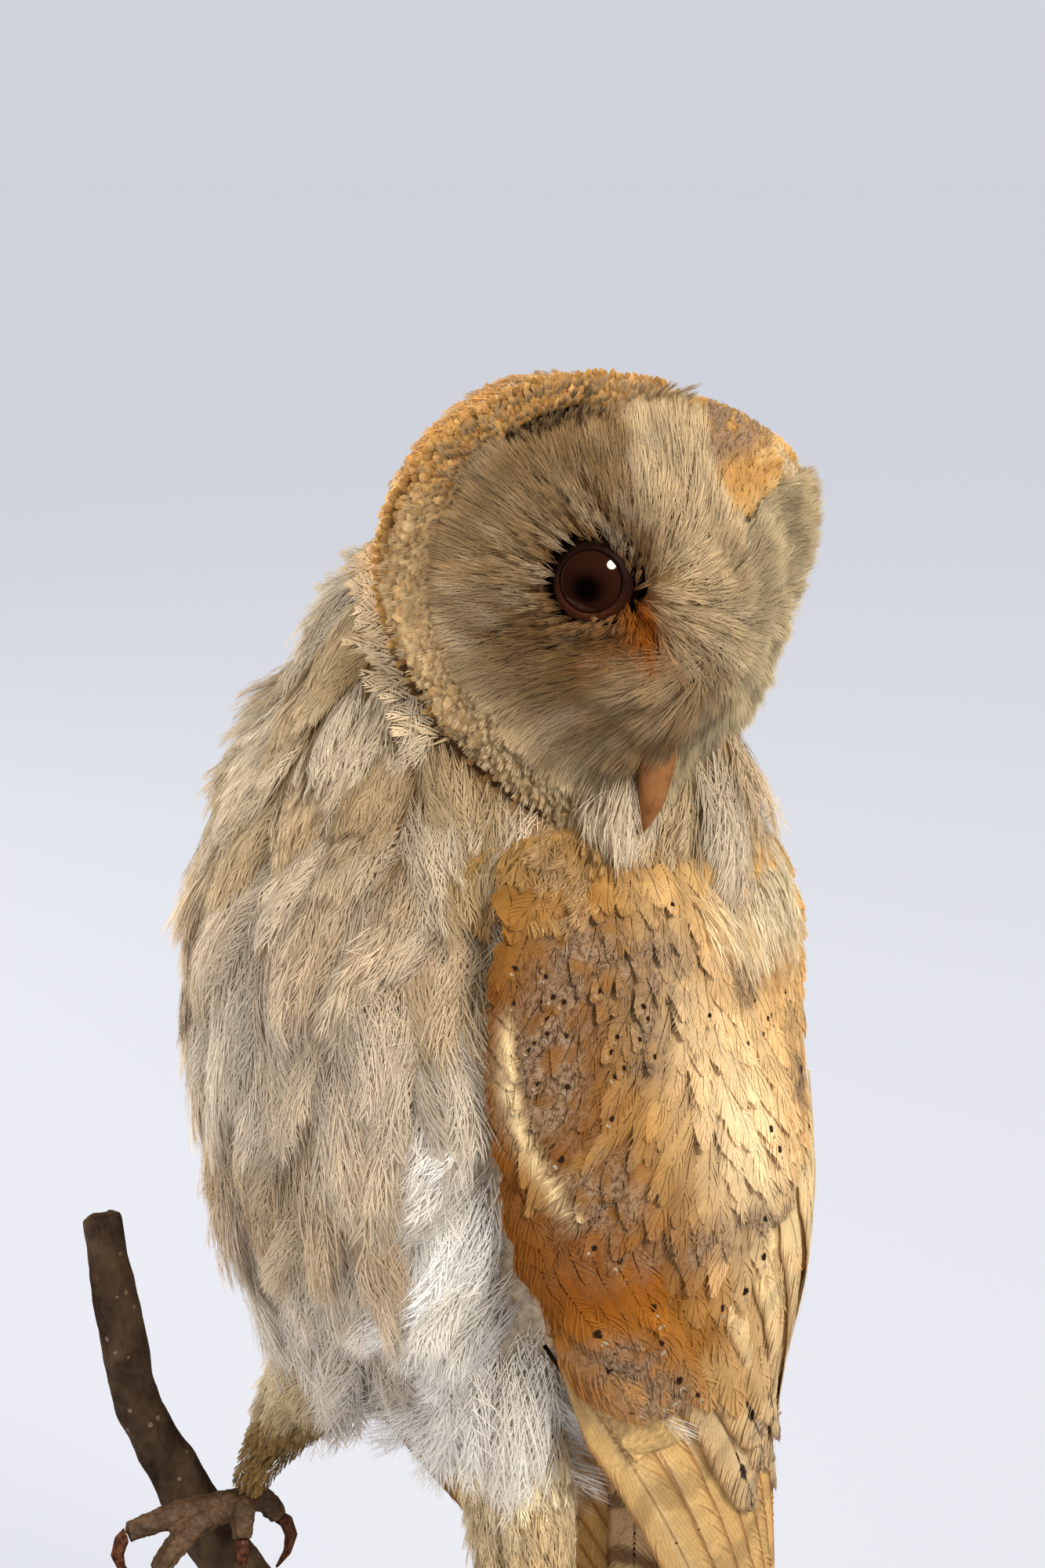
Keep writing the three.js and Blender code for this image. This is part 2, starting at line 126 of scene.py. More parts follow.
head_pose = (
    Matrix.Translation(HEAD_CENTRE)
    @ Matrix.Rotation(math.radians(HEAD_TURN[0]), 4, "Z")
    @ Matrix.Rotation(math.radians(HEAD_TURN[1]), 4, "X")
    @ Matrix.Rotation(math.radians(HEAD_TURN[2]), 4, "Y")
)
HEAD = np.array(head_pose)
HEAD_TO_WORLD, HEAD_PLACE = HEAD[:3, :3].T, HEAD[:3, 3]


def from_head(q):
    return q @ HEAD_TO_WORLD + HEAD_PLACE


def to_head(p):
    return (p - HEAD_PLACE) @ HEAD[:3, :3]


def flat(x, z):
    """Places on a flat sheet seen from the front of the head."""
    return np.stack([x, 0 * x, z], -1)


def disc_outline(angle):
    """The facial disc's outline. Angle 0 is the crown and pi the chin."""
    side, up = np.sin(angle), np.cos(angle)
    fold = np.minimum(angle, 2 * np.pi - angle)
    notch = 5 * np.exp(-((fold / 0.38) ** 2))
    sunk = 5 * np.exp(-(((angle - 0.5) / 0.45) ** 2))
    taper = np.where(up < 0, 1 - 0.16 * up * up, 1)
    x = HEAD_HALF_WIDTH * side * taper * (1 + 0.05 * np.abs(side) * up)
    z = np.where(up > 0, HEAD_TOP, HEAD_CHIN) * up - notch - sunk
    return x, z


crest_front = table(  # (height, how far the crest between the half discs stands forward)
    [
        (-46, 20.5), (-34, 23), (-26, 27.5), (-20, 32), (-14, 35.8), (-6, 38.8),
        (0, 39.5), (10, 37), (20, 30), (30, 20), (43, 5),
    ]
)


def rim_front(z):
    """How far forward the disc's rim is at a height."""
    reach = np.where(z > 0, z / HEAD_TOP, z / HEAD_CHIN)
    return mix(RIM_FRONT, np.where(z > 0, 5, 20.5), np.minimum(reach * reach, 1))


OUTLINE_ANGLES = np.linspace(0, 2 * np.pi, 1441)
OUTLINE_X, OUTLINE_Z = disc_outline(OUTLINE_ANGLES)
OUTLINE_POLAR = np.unwrap(np.arctan2(OUTLINE_X, OUTLINE_Z))
OUTLINE_REACH = np.hypot(OUTLINE_X, OUTLINE_Z)
PROUD = (  # how far the face stands out, by the share of the way to the rim
    [0, 0.08, 0.22, 0.36, 0.5, 0.66, 0.8, 0.9, 0.97, 1],
    [0, 0, -0.4, -0.7, -1.2, -2.5, -2.6, 0.4, 1.9, 0],
)


def disc_share(x, z):
    """(share of the way from the middle to the rim, angle) of a place on the face, seen from the front."""
    polar = np.arctan2(x, z) % (2 * np.pi)
    reach = np.interp(polar, OUTLINE_POLAR, OUTLINE_REACH)
    angle = np.interp(polar, OUTLINE_POLAR, OUTLINE_ANGLES)
    return np.hypot(x, z) / reach, angle


def face_surface(x, z):
    """The face's surface, in the head's frame."""
    share, angle = disc_share(x, z)
    rim_x, rim_z = disc_outline(angle)
    across = np.minimum(np.abs(rim_x) / HEAD_HALF_WIDTH, 1)
    bowed = np.minimum(share, 1.05) ** mix(2.2, 1.1, across)
    straight = mix(crest_front(z)[..., 0], rim_front(rim_z), bowed)
    y = -(straight + np.interp(share, *PROUD) * across)
    return np.stack([x, y, z], -1)


def face_frame(x, z):
    """(place, normal) on the face in the head's frame. The normal points forward."""
    e = 0.8
    p = face_surface(x, z)
    dx = face_surface(x + e, z) - face_surface(x - e, z)
    dz = face_surface(x, z + e) - face_surface(x, z - e)
    return p, unit(np.cross(dx, dz))


wing_shape = table(  # (height, leading edge x and y, trailing edge x and y, bulge)
    [
        (295, 31, -35, 30, 33, 4),
        (284, 41.5, -44.5, 34, 41, 9),
        (250, 44.2, -48.4, 30, 55, 17),
        (207, 47.5, -40, 19, 61, 26),
        (171, 50, -19, 11, 62, 17),
        (143, 46, 1, 7, 65, 12),
        (100, 34, 30, 5, 75, 7),
        (60, 20, 57, 4, 84, 3),
        (32, 9, 77, 6, 86, 1),
    ]
)


def wing_surface(t, z):
    """The left wing's outer surface, t from the leading to the trailing edge."""
    row = wing_shape(z)
    lead, trail, bulge = row[..., 0:2], row[..., 2:4], row[..., 4:5]
    chord = trail - lead
    normal = unit(np.stack([chord[..., 1], -chord[..., 0]], -1))
    middle = (lead + trail) / 2 + normal * 2 * bulge
    t = np.asarray(t, float)[..., None]
    xy = (1 - t) ** 2 * lead + 2 * t * (1 - t) * middle + t * t * trail
    return np.concatenate([xy, np.asarray(z, float)[..., None] * np.ones_like(t)], -1)


def wing_frame(t, z):
    """(place, normal) on the left wing. The normal points away from the body."""
    t, z = np.broadcast_arrays(np.asarray(t, float), np.asarray(z, float))
    dt = wing_surface(t + 0.01, z) - wing_surface(t - 0.01, z)
    dz = wing_surface(t, z + 1) - wing_surface(t, z - 1)
    return wing_surface(t, z), unit(np.cross(dt, dz))


# ---------------------------------------------------------------- camera, light and floor
CAMERA_PLACE = (358.4, -355.8, 420.3)
CAMERA_AZIMUTH, CAMERA_DOWN = 45, 14  # degrees
CAMERA_LENS, CAMERA_SENSOR = 59.4, 36
LIGHTS_AIM = Vector((0, 0, 0.23))  # this, the lights' places and sizes and the floor's are in metres
SKY_COLOUR, SKY_STRENGTH = (0.80, 0.82, 0.90, 1), 0.80
FLOOR_HALF_WIDTH, FLOOR_GLOW = 60.0, 0.655


def add_camera():
    data = bpy.data.cameras.new("camera")
    data.lens, data.sensor_width = CAMERA_LENS, CAMERA_SENSOR
    data.clip_start, data.clip_end = 0.02, 30
    camera = bpy.data.objects.new("camera", data)
    bpy.context.scene.collection.objects.link(camera)
    a, down = math.radians(CAMERA_AZIMUTH), math.radians(CAMERA_DOWN)
    right = Vector((math.cos(a), math.sin(a), 0))
    toward = Vector((math.sin(a), -math.cos(a), 0))
    forward = -toward * math.cos(down) - Vector((0, 0, 1)) * math.sin(down)
    up = right.cross(forward)
    rows = [(right[i], up[i], -forward[i], CAMERA_PLACE[i] * MM) for i in range(3)]
    camera.matrix_world = Matrix((*rows, (0, 0, 0, 1)))
    bpy.context.scene.camera = camera


def add_light(name, place, size, power, colour, mirrored=False):
    """An area light aimed at the owl. Only a mirrored one shows in the glass eyes."""
    data = bpy.data.lights.new(name, "AREA")
    data.shape, data.size, data.energy, data.color = "DISK", size, power, colour
    lamp = bpy.data.objects.new(name, data)
    bpy.context.scene.collection.objects.link(lamp)
    lamp.location = place
    lamp.visible_glossy = mirrored
    lamp.rotation_euler = (LIGHTS_AIM - lamp.location).to_track_quat("-Z", "Y").to_euler()


def add_floor():
    """A plain floor that glows as the sky does, so that it runs into the background."""
    mesh = bpy.data.meshes.new("floor")
    s = FLOOR_HALF_WIDTH
    mesh.from_pydata([(-s, -s, 0), (s, -s, 0), (s, s, 0), (-s, s, 0)], [], [(0, 1, 2, 3)])
    floor = bpy.data.objects.new("floor", mesh)
    bpy.context.scene.collection.objects.link(floor)
    floor.visible_glossy = False
    n = Nodes("floor", 0.9, 0.5)
    n.set(Base_Color=(0.18, 0.18, 0.18, 1), Emission_Color=SKY_COLOUR, Emission_Strength=FLOOR_GLOW)
    mesh.materials.append(n.material)


def add_studio():
    world = bpy.data.worlds.new("studio")
    world.use_nodes = True
    sky = world.node_tree.nodes["Background"]
    sky.inputs["Color"].default_value = SKY_COLOUR
    sky.inputs["Strength"].default_value = SKY_STRENGTH
    bpy.context.scene.world = world
    world.cycles_visibility.glossy = False  # the room behind the camera is dark in the glass eyes
    bpy.context.scene.view_settings.view_transform = "Standard"
    add_light("window", (1.08, 0.02, 1.16), 0.5, 23, (1.0, 0.94, 0.85), mirrored=True)
    add_light("front", (0.10, -1.32, 0.95), 1.0, 8.5, (1.0, 0.96, 0.90))
    add_light("left", (-1.3, -0.45, 0.7), 1.0, 24.0, (0.97, 0.98, 1.0))
    add_floor()


# ---------------------------------------------------------------- materials
class Nodes:
    """A material's node tree, with short names for the few nodes used here."""

    def __init__(self, name, roughness, specular):
        self.material = bpy.data.materials.new(name)
        self.material.use_nodes = True
        self.tree = self.material.node_tree
        self.shader = self.tree.nodes["Principled BSDF"]
        self.shader.inputs["Roughness"].default_value = roughness
        self.shader.inputs["Specular IOR Level"].default_value = specular

    def put(self, kind, inputs=(), **settings):
        node = self.tree.nodes.new(kind)
        for key, value in settings.items():
            setattr(node, key, value)
        for key, value in dict(inputs).items():
            if isinstance(value, bpy.types.NodeSocket):
                self.tree.links.new(value, node.inputs[key])
            else:
                node.inputs[key].default_value = value
        return node

    def attribute(self, name):
        return self.put("ShaderNodeAttribute", attribute_name=name)

    def place(self):
        return self.put("ShaderNodeTexCoord").outputs["Object"]

    def stretched(self, place, shares):
        """The place scaled along each axis: a share below 1 draws a pattern out along that axis."""
        return self.put("ShaderNodeMapping", {"Vector": place, "Scale": shares}).outputs[0]

    def noise(self, size, detail=3, rough=0.55, at=None):
        """Noise with lumps of about size metres."""
        inputs = {"Scale": 1 / size, "Detail": detail, "Roughness": rough, "Vector": at or self.place()}
        return self.put("ShaderNodeTexNoise", inputs).outputs["Fac"]

    def cells(self, size, at):
        """The distance from the middle of cells of about size metres."""
        return self.put("ShaderNodeTexVoronoi", {"Scale": 1 / size, "Vector": at}).outputs["Distance"]

    def math(self, operation, a, b=0.5, clamp=False):
        """One operation on one or two values."""
        return self.put("ShaderNodeMath", {0: a, 1: b}, operation=operation, use_clamp=clamp).outputs[0]

    def ramp(self, value, low, high, out_low=0.0, out_high=1.0):
        """A smooth step between two levels."""
        inputs = {0: value, 1: low, 2: high, 3: out_low, 4: out_high}
        node = self.put("ShaderNodeMapRange", inputs, interpolation_type="SMOOTHSTEP", clamp=True)
        return node.outputs[0]

    def blend(self, a, b, share, kind="MIX"):
        """Colour b over colour a by a share."""
        node = self.put("ShaderNodeMix", data_type="RGBA", blend_type=kind)
        for key, value in ((0, share), (6, a), (7, b)):
            if isinstance(value, bpy.types.NodeSocket):
                self.tree.links.new(value, node.inputs[key])
            else:
                node.inputs[key].default_value = value if key == 0 else (*linear(value), 1)
        return node.outputs[2]

    def colour(self, socket):
        self.tree.links.new(socket, self.shader.inputs["Base Color"])

    def through(self, socket, share):
        """Lets a share of the light pass through, as thin barbs do."""
        glow = self.put("ShaderNodeBsdfTranslucent", {"Color": socket}).outputs[0]
        both = self.put("ShaderNodeMixShader", {0: share, 1: self.shader.outputs[0], 2: glow}).outputs[0]
        self.tree.links.new(both, self.tree.nodes["Material Output"].inputs["Surface"])

    def bump(self, height, strength, distance):
        node = self.put("ShaderNodeBump", {"Height": height, "Strength": strength, "Distance": distance})
        self.tree.links.new(node.outputs[0], self.shader.inputs["Normal"])

    def scaled(self, colour, share):
        """A colour made lighter or darker by a share."""
        return self.put("ShaderNodeVectorMath", {0: colour, "Scale": share}, operation="SCALE").outputs[0]

    def set(self, **values):
        """Sets the shader's own inputs, with _ for each space in a name."""
        for key, value in values.items():
            self.shader.inputs[key.replace("_", " ")].default_value = value


def add_pepper(n, tone, share):
    """Fine grey-brown specks."""
    speck = n.ramp(n.noise(0.0011, 3, 0.8), 0.44, 0.60)
    grey = n.blend((0.35, 0.24, 0.15), (0.11, 0.062, 0.033), speck)
    return n.blend(tone, grey, n.math("MULTIPLY", share, n.ramp(n.noise(0.004, 2), 0.3, 0.6), True))


def add_drop(n, tone, x, y, share):
    """One dark drop near the tip, with a pale bead at its end."""
    for centre, reach, ink in (
        (0.80, (0.17, 0.042), (0.028, 0.012, 0.006)),
        (0.895, (0.13, 0.022), (0.44, 0.35, 0.24)),
    ):
        u = n.math("DIVIDE", x, reach[0])
        v = n.math("DIVIDE", n.math("SUBTRACT", y, centre), reach[1])
        far = n.math("SQRT", n.math("ADD", n.math("MULTIPLY", u, u), n.math("MULTIPLY", v, v)))
        tone = n.blend(tone, ink, n.math("MULTIPLY", n.ramp(far, 0.75, 1.1, 1, 0), share, True))
    return tone


def add_bars(n, tone, y, share):
    """Broad brown bars across the long feathers."""
    wobble = n.math("MULTIPLY_ADD", n.noise(0.008, 2), 0.06)
    bars = n.math("SINE", n.math("MULTIPLY", n.math("ADD", y, wobble), 34.0))
    return n.blend(tone, (0.15, 0.075, 0.03), n.math("MULTIPLY", n.ramp(bars, 0.35, 0.95), share, True))


def add_barb_lines(n, tone, x, y, lines):
    """The barbs of a closed vane, as fine lines that slant forward, and its darker rim and shaft."""
    slant = n.math("SUBTRACT", y, n.math("MULTIPLY", n.math("ABSOLUTE", x), 0.22))
    ridge = n.math("SINE", n.math("MULTIPLY", slant, lines))
    fine_lines = n.ramp(n.math("MULTIPLY", ridge, n.noise(0.0012, 2)), 0.1, 0.6)
    tone = n.blend(tone, (0.62, 0.48, 0.32), n.math("MULTIPLY", fine_lines, 0.35), "MULTIPLY")
    # the rim: partly the vane's own darker edge, partly painted shade where the vanes overlap
    rim = n.ramp(n.math("ABSOLUTE", x), 0.80, 0.97, 0, 0.65)
    shaft = n.ramp(n.math("ABSOLUTE", x), 0.07, 0.03, 0, 0.6)
    return n.blend(tone, (0.42, 0.26, 0.13), n.math("MAXIMUM", rim, shaft), "MULTIPLY")


def feather_material(name, roughness, sheen, mottle, fine, thin, lines=0.0):
    """The coat's colour comes with its vertices; the nodes add the fine unevenness and the dark specks.

    The attribute vane holds a feather's own (across, along, number), and marks its (spot, pepper, bars).
    fine is the size of the finest unevenness in metres, and thin the share of light that passes through.
    """
    n = Nodes(name, roughness, 0.12)
    coat = n.attribute("coat").outputs["Color"]
    x, y, _ = n.put("ShaderNodeSeparateXYZ", {0: n.attribute("vane").outputs["Vector"]}).outputs
    spot, pepper, bars = n.put("ShaderNodeSeparateXYZ", {0: n.attribute("marks").outputs["Vector"]}).outputs
    cloud = n.ramp(n.noise(0.006, 2), 0.3, 0.7, 1 - mottle, 1 + mottle)
    grain = n.ramp(n.noise(fine, 2), 0.25, 0.75, 1 - mottle, 1 + mottle)
    tone = n.scaled(coat, n.math("MULTIPLY", cloud, grain))
    tone = add_pepper(n, tone, pepper)
    tone = add_drop(n, tone, x, y, spot)
    tone = add_bars(n, tone, y, bars)
    if lines:
        tone = add_barb_lines(n, tone, x, y, lines)
    n.colour(tone)
    n.set(Sheen_Weight=sheen, Sheen_Roughness=0.5)
    n.through(tone, thin)
    return n.material


# ---------------------------------------------------------------- meshes
def make_object(name, points, faces, attributes=(), uv=None, material=None):
    """A mesh object from points in millimetres. faces is a list of integer arrays, one row per face."""
    mesh = bpy.data.meshes.new(name)
    mesh.vertices.add(len(points))
    mesh.vertices.foreach_set("co", (np.asarray(points) * MM).astype(np.float32).ravel())
    loops = np.concatenate([f.ravel() for f in faces]).astype(np.int32)
    sizes = np.concatenate([np.full(len(f), f.shape[1]) for f in faces])
    mesh.loops.add(len(loops))
    mesh.loops.foreach_set("vertex_index", loops)
    mesh.polygons.add(len(sizes))
    mesh.polygons.foreach_set("loop_start", np.concatenate([[0], np.cumsum(sizes)[:-1]]).astype(np.int32))
    mesh.polygons.foreach_set("use_smooth", np.full(len(sizes), True))
    mesh.update(calc_edges=True)
    for key, kind, values in attributes:
        data = mesh.attributes.new(key, kind, "POINT").data
        data.foreach_set("color" if kind == "FLOAT_COLOR" else "vector", values.astype(np.float32).ravel())
    if uv is not None:
        mesh.uv_layers.new(name="OFBake").data.foreach_set("uv", uv[loops].astype(np.float32).ravel())
    mesh.validate()
    obj = bpy.data.objects.new(name, mesh)
    bpy.context.scene.collection.objects.link(obj)
    if material:
        mesh.materials.append(material)
    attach(obj, "root")
    return obj


def mesh_arrays(obj):
    """(points in millimetres, triangles) of an object's mesh."""
    mesh = obj.data
    mesh.calc_loop_triangles()
    points = np.zeros(len(mesh.vertices) * 3, np.float32)
    mesh.vertices.foreach_get("co", points)
    triangles = np.zeros(len(mesh.loop_triangles) * 3, np.int32)
    mesh.loop_triangles.foreach_get("vertices", triangles)
    return points.reshape(-1, 3).astype(float) / MM, triangles.reshape(-1, 3)


def cad_arrays(*names):
    """(points, triangles) of several CAD nodes together."""
    points, triangles, count = [], [], 0
    for name in names:
        p, t = mesh_arrays(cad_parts[name])
        points.append(p)
        triangles.append(t + count)
        count += len(p)
    return np.concatenate(points), np.concatenate(triangles)


def refined(names, voxel, smooth):
    """The closed surface round the given CAD nodes, in even small faces: (points, triangles)."""
    points, triangles = cad_arrays(*names)
    obj = make_object("work", points, [triangles])
    again = obj.modifiers.new("remesh", "REMESH")
    again.mode, again.voxel_size, again.adaptivity = "VOXEL", voxel * MM, 0
    soft = obj.modifiers.new("smooth", "SMOOTH")
    soft.iterations, soft.factor = smooth, 0.5
    depsgraph = bpy.context.evaluated_depsgraph_get()
    mesh = bpy.data.meshes.new_from_object(obj.evaluated_get(depsgraph))
    bpy.data.objects.remove(obj)
    holder = bpy.data.objects.new("work", mesh)
    result = mesh_arrays(holder)
    bpy.data.objects.remove(holder)
    bpy.data.meshes.remove(mesh)
    return result


def vertex_normals(points, triangles):
    a, b, c = (points[triangles[:, k]] for k in range(3))
    face = np.cross(b - a, c - a)
    normals = np.zeros_like(points)
    for k in range(3):
        np.add.at(normals, triangles[:, k], face)
    return unit(normals)


def thinned(places, spacing):
    """Which places to keep, in their order, so that no two are closer than spacing."""
    cells, taken = {}, []
    around = [(i, j, k) for i in (-1, 0, 1) for j in (-1, 0, 1) for k in (-1, 0, 1)]
    for index, (x, y, z) in enumerate(places.tolist()):
        cx, cy, cz = int(x // spacing), int(y // spacing), int(z // spacing)
        near = (q for dx, dy, dz in around for q in cells.get((cx + dx, cy + dy, cz + dz), ()))
        if all((x - qx) ** 2 + (y - qy) ** 2 + (z - qz) ** 2 >= spacing**2 for qx, qy, qz in near):
            cells.setdefault((cx, cy, cz), []).append((x, y, z))
            taken.append(index)
    return taken


class Surface:
    """A mesh that answers where its nearest point is, and what its smooth normal is there."""

    def __init__(self, points, triangles):
        self.points, self.triangles = points, triangles
        self.normals = vertex_normals(points, triangles)
        self.tree = BVHTree.FromPolygons(points.tolist(), triangles.tolist())

    def nearest(self, places):
        found, index = np.empty_like(places), np.empty(len(places), int)
        find = self.tree.find_nearest
        for i, place in enumerate(places.tolist()):
            spot, _, face, _ = find(place)
            found[i], index[i] = spot, face
        a, b, c = (self.points[self.triangles[index, k]] for k in range(3))
        n = np.cross(b - a, c - a)
        area = np.maximum((n * n).sum(-1), 1e-12)
        u = (np.cross(c - b, found - b) * n).sum(-1) / area
        v = (np.cross(a - c, found - c) * n).sum(-1) / area
        weights = np.clip(np.stack([u, v, 1 - u - v], -1), 0, 1)[..., None]
        corner_normals = self.normals[self.triangles[index]]
        return found, unit((corner_normals * weights).sum(1))

    def scatter(self, spacing, keep, seed):
        """Evenly scattered places about spacing apart, where keep(places, normals) is true."""
        random = np.random.default_rng(seed)
        a, b, c = (self.points[self.triangles[:, k]] for k in range(3))
        area = np.linalg.norm(np.cross(b - a, c - a), axis=-1) / 2
        count = int(area.sum() / spacing**2 * 5)
        face = random.choice(len(area), count, p=area / area.sum())
        u, v = np.sqrt(random.random(count)), random.random(count)
        w = np.stack([1 - u, u * (1 - v), u * v], -1)[..., None]
        places = (self.points[self.triangles[face]] * w).sum(1)
        normals = unit((self.normals[self.triangles[face]] * w).sum(1))
        good = keep(places, normals)
        places, normals = places[good], normals[good]
        taken = thinned(places, spacing)
        return places[taken], normals[taken]


# ---------------------------------------------------------------- feathers
def lobe(blunt, base):
    """A vane's half width along its length: quick to open, rounded or pointed at the tip."""
    return lambda u: (1 - np.clip(u, 0, 1) ** blunt) ** 0.75 * np.clip(u / base, 0, 1) ** 0.5


class Spines:
    """The curved middle lines of many feathers, each from its root to its tip."""

    def __init__(self, root, tip, root_normal, tip_normal, heading, rise=0.1, bend=None):
        length = np.linalg.norm(tip - root, axis=-1)[:, None]
        self.count, self.normals = len(root), (root_normal[:, None], tip_normal[:, None])
        first = root + heading * length * 0.35 + root_normal * rise * length
        second = mix(root, tip, 0.68) + tip_normal * rise * length * 0.8 + (0 if bend is None else bend)
        self.control = np.stack([root, first, second, tip], 1)

    def at(self, u):
        """Places, sideways directions and normals at shares u, of shape (count, k)."""
        v = 1 - u
        basis = np.stack([v**3, 3 * v * v * u, 3 * v * u * u, u**3], -1)
        slope = np.stack([-3 * v * v, 3 * v * v - 6 * v * u, 6 * v * u - 3 * u * u, 3 * u * u], -1)
        along = unit(slope @ self.control)
        side = unit(np.cross(along, mix(*self.normals, u[..., None])))
        return basis @ self.control, side, np.cross(side, along)


def column(values, count):
    """One value per feather, or the same for all, as a column."""
    return np.broadcast_to(np.asarray(values, float).reshape(-1, 1), (count, 1))


SHAFT_STOPS, SHAFT_TAPER = np.array([0.0, 0.35, 0.7, 0.98]), np.array([1.0, 0.75, 0.45, 0.0])


def shafts(spines, thick, number):
    """The shafts of loose feathers, as thin strips that end in a point."""
    count, corners = spines.count, 2 * len(SHAFT_STOPS) - 1
    place, side, normal = spines.at(np.broadcast_to(SHAFT_STOPS, (count, len(SHAFT_STOPS))))
    half = thick * SHAFT_TAPER[None, :, None]
    place = place + normal * 0.06
    strip = np.stack([place - side * half, place + side * half], 2).reshape(count, corners + 1, 3)
    local = np.zeros((count, corners, 3))
    local[..., 1] = np.repeat(SHAFT_STOPS, 2)[:corners]
    local[..., 2] = number[:, None]
    first = np.arange(count)[:, None] * corners
    return {
        "points": strip[:, :corners].reshape(-1, 3),
        "faces": [np.concatenate([first + [[0, 2, 3, 1]], first + [[2, 4, 5, 3]]]), first + [[4, 6, 5]]],
        "vane": local.reshape(-1, 3),
        "owner": np.repeat(np.arange(count), corners),
        "normals": np.repeat(normal, 2, axis=1)[:, :corners].reshape(-1, 3),
    }


def barbed(
    spines, half_width, outline, barbs, reach, blade, tilt, mess, seed,
    cup=0.25, shaft=0.1, start=0.02, last=0.93, round_off=0.45,
):
    """Loose feathers: each a shaft with barbs on both sides.

    reach is how far along the feather a barb runs, blade a barb's half width, tilt how it is turned on
    edge, mess how uneven the barbs are, cup how far the feather's edges curl down, shaft the shaft's half
    width, and round_off how much a barb is shaded as if it were round. The barbs leave the shaft between
    the shares start and last.
    """
    random = np.random.default_rng(seed)
    count = spines.count
    half_width, blade = column(half_width, count), column(blade, count)[..., None]
    number = random.random(count)
    sides = np.repeat([-1.0, 1.0], barbs)[None, :]
    rank = np.tile((np.arange(barbs) + 0.5) / barbs, 2)[None, :]

    def loose(size):
        return random.normal(0, size, (count, 2 * barbs))

    leave = np.clip(start + rank * (last - start) + loose(0.25 / barbs), 0, 0.97)
    end = np.minimum(leave + reach * (1 - 0.45 * leave) * (1 + loose(mess)), 1.0)
    wide = sides * outline(mix(leave, end, 0.8)) * half_width * (1 + loose(mess))
    height = loose(0.10) * np.minimum(half_width, 3)
    spots = []
    for share, spread in ((0.0, 0.0), (0.5, 0.66), (1.0, 1.0)):
        u = np.clip(mix(leave, end, share), 0, 1)
        place, side, normal = spines.at(u)
        across = (wide * spread)[..., None]
        down = (height * share)[..., None] - cup * across**2 / np.maximum(half_width[..., None], 1e-6)
        spots.append((place + side * across + normal * down, normal, u, across[..., 0]))
    way = unit(spots[-1][0] - spots[0][0])
    points, vanes, normals = [], [], []
    for (place, normal, u, across), thick in zip(spots, (1.0, 0.85, 0.0)):
        level = unit(np.cross(normal, way))
        flank = level * math.cos(tilt) + normal * math.sin(tilt) * sides[..., None]
        local = np.stack([across / np.maximum(half_width, 1e-6), u, number[:, None] + 0 * u], -1)
        for edge in (-1, 1) if thick else (0,):
            points.append(place + flank * blade * thick * edge)
            normals.append(unit(normal + level * (edge * round_off) - level * sides[..., None] * tilt * 0.3))
            vanes.append(local)
    per = len(points)
    first = np.arange(count * 2 * barbs)[:, None] * per
    points, vanes, normals = (np.stack(v, 2).reshape(-1, 3) for v in (points, vanes, normals))
    made = {
        "points": points,
        "faces": [first + [[0, 2, 3, 1]], first + [[2, 4, 3]]],
        "vane": vanes,
        "owner": np.repeat(np.arange(count), 2 * barbs * per),
        "normals": normals,
    }
    if shaft:
        more, start = shafts(spines, shaft, number), len(made["points"])
        faces = [np.concatenate([a, b + start]) for a, b in zip(made["faces"], more["faces"])]
        made = {key: faces if key == "faces" else np.concatenate([made[key], more[key]]) for key in made}
    return made


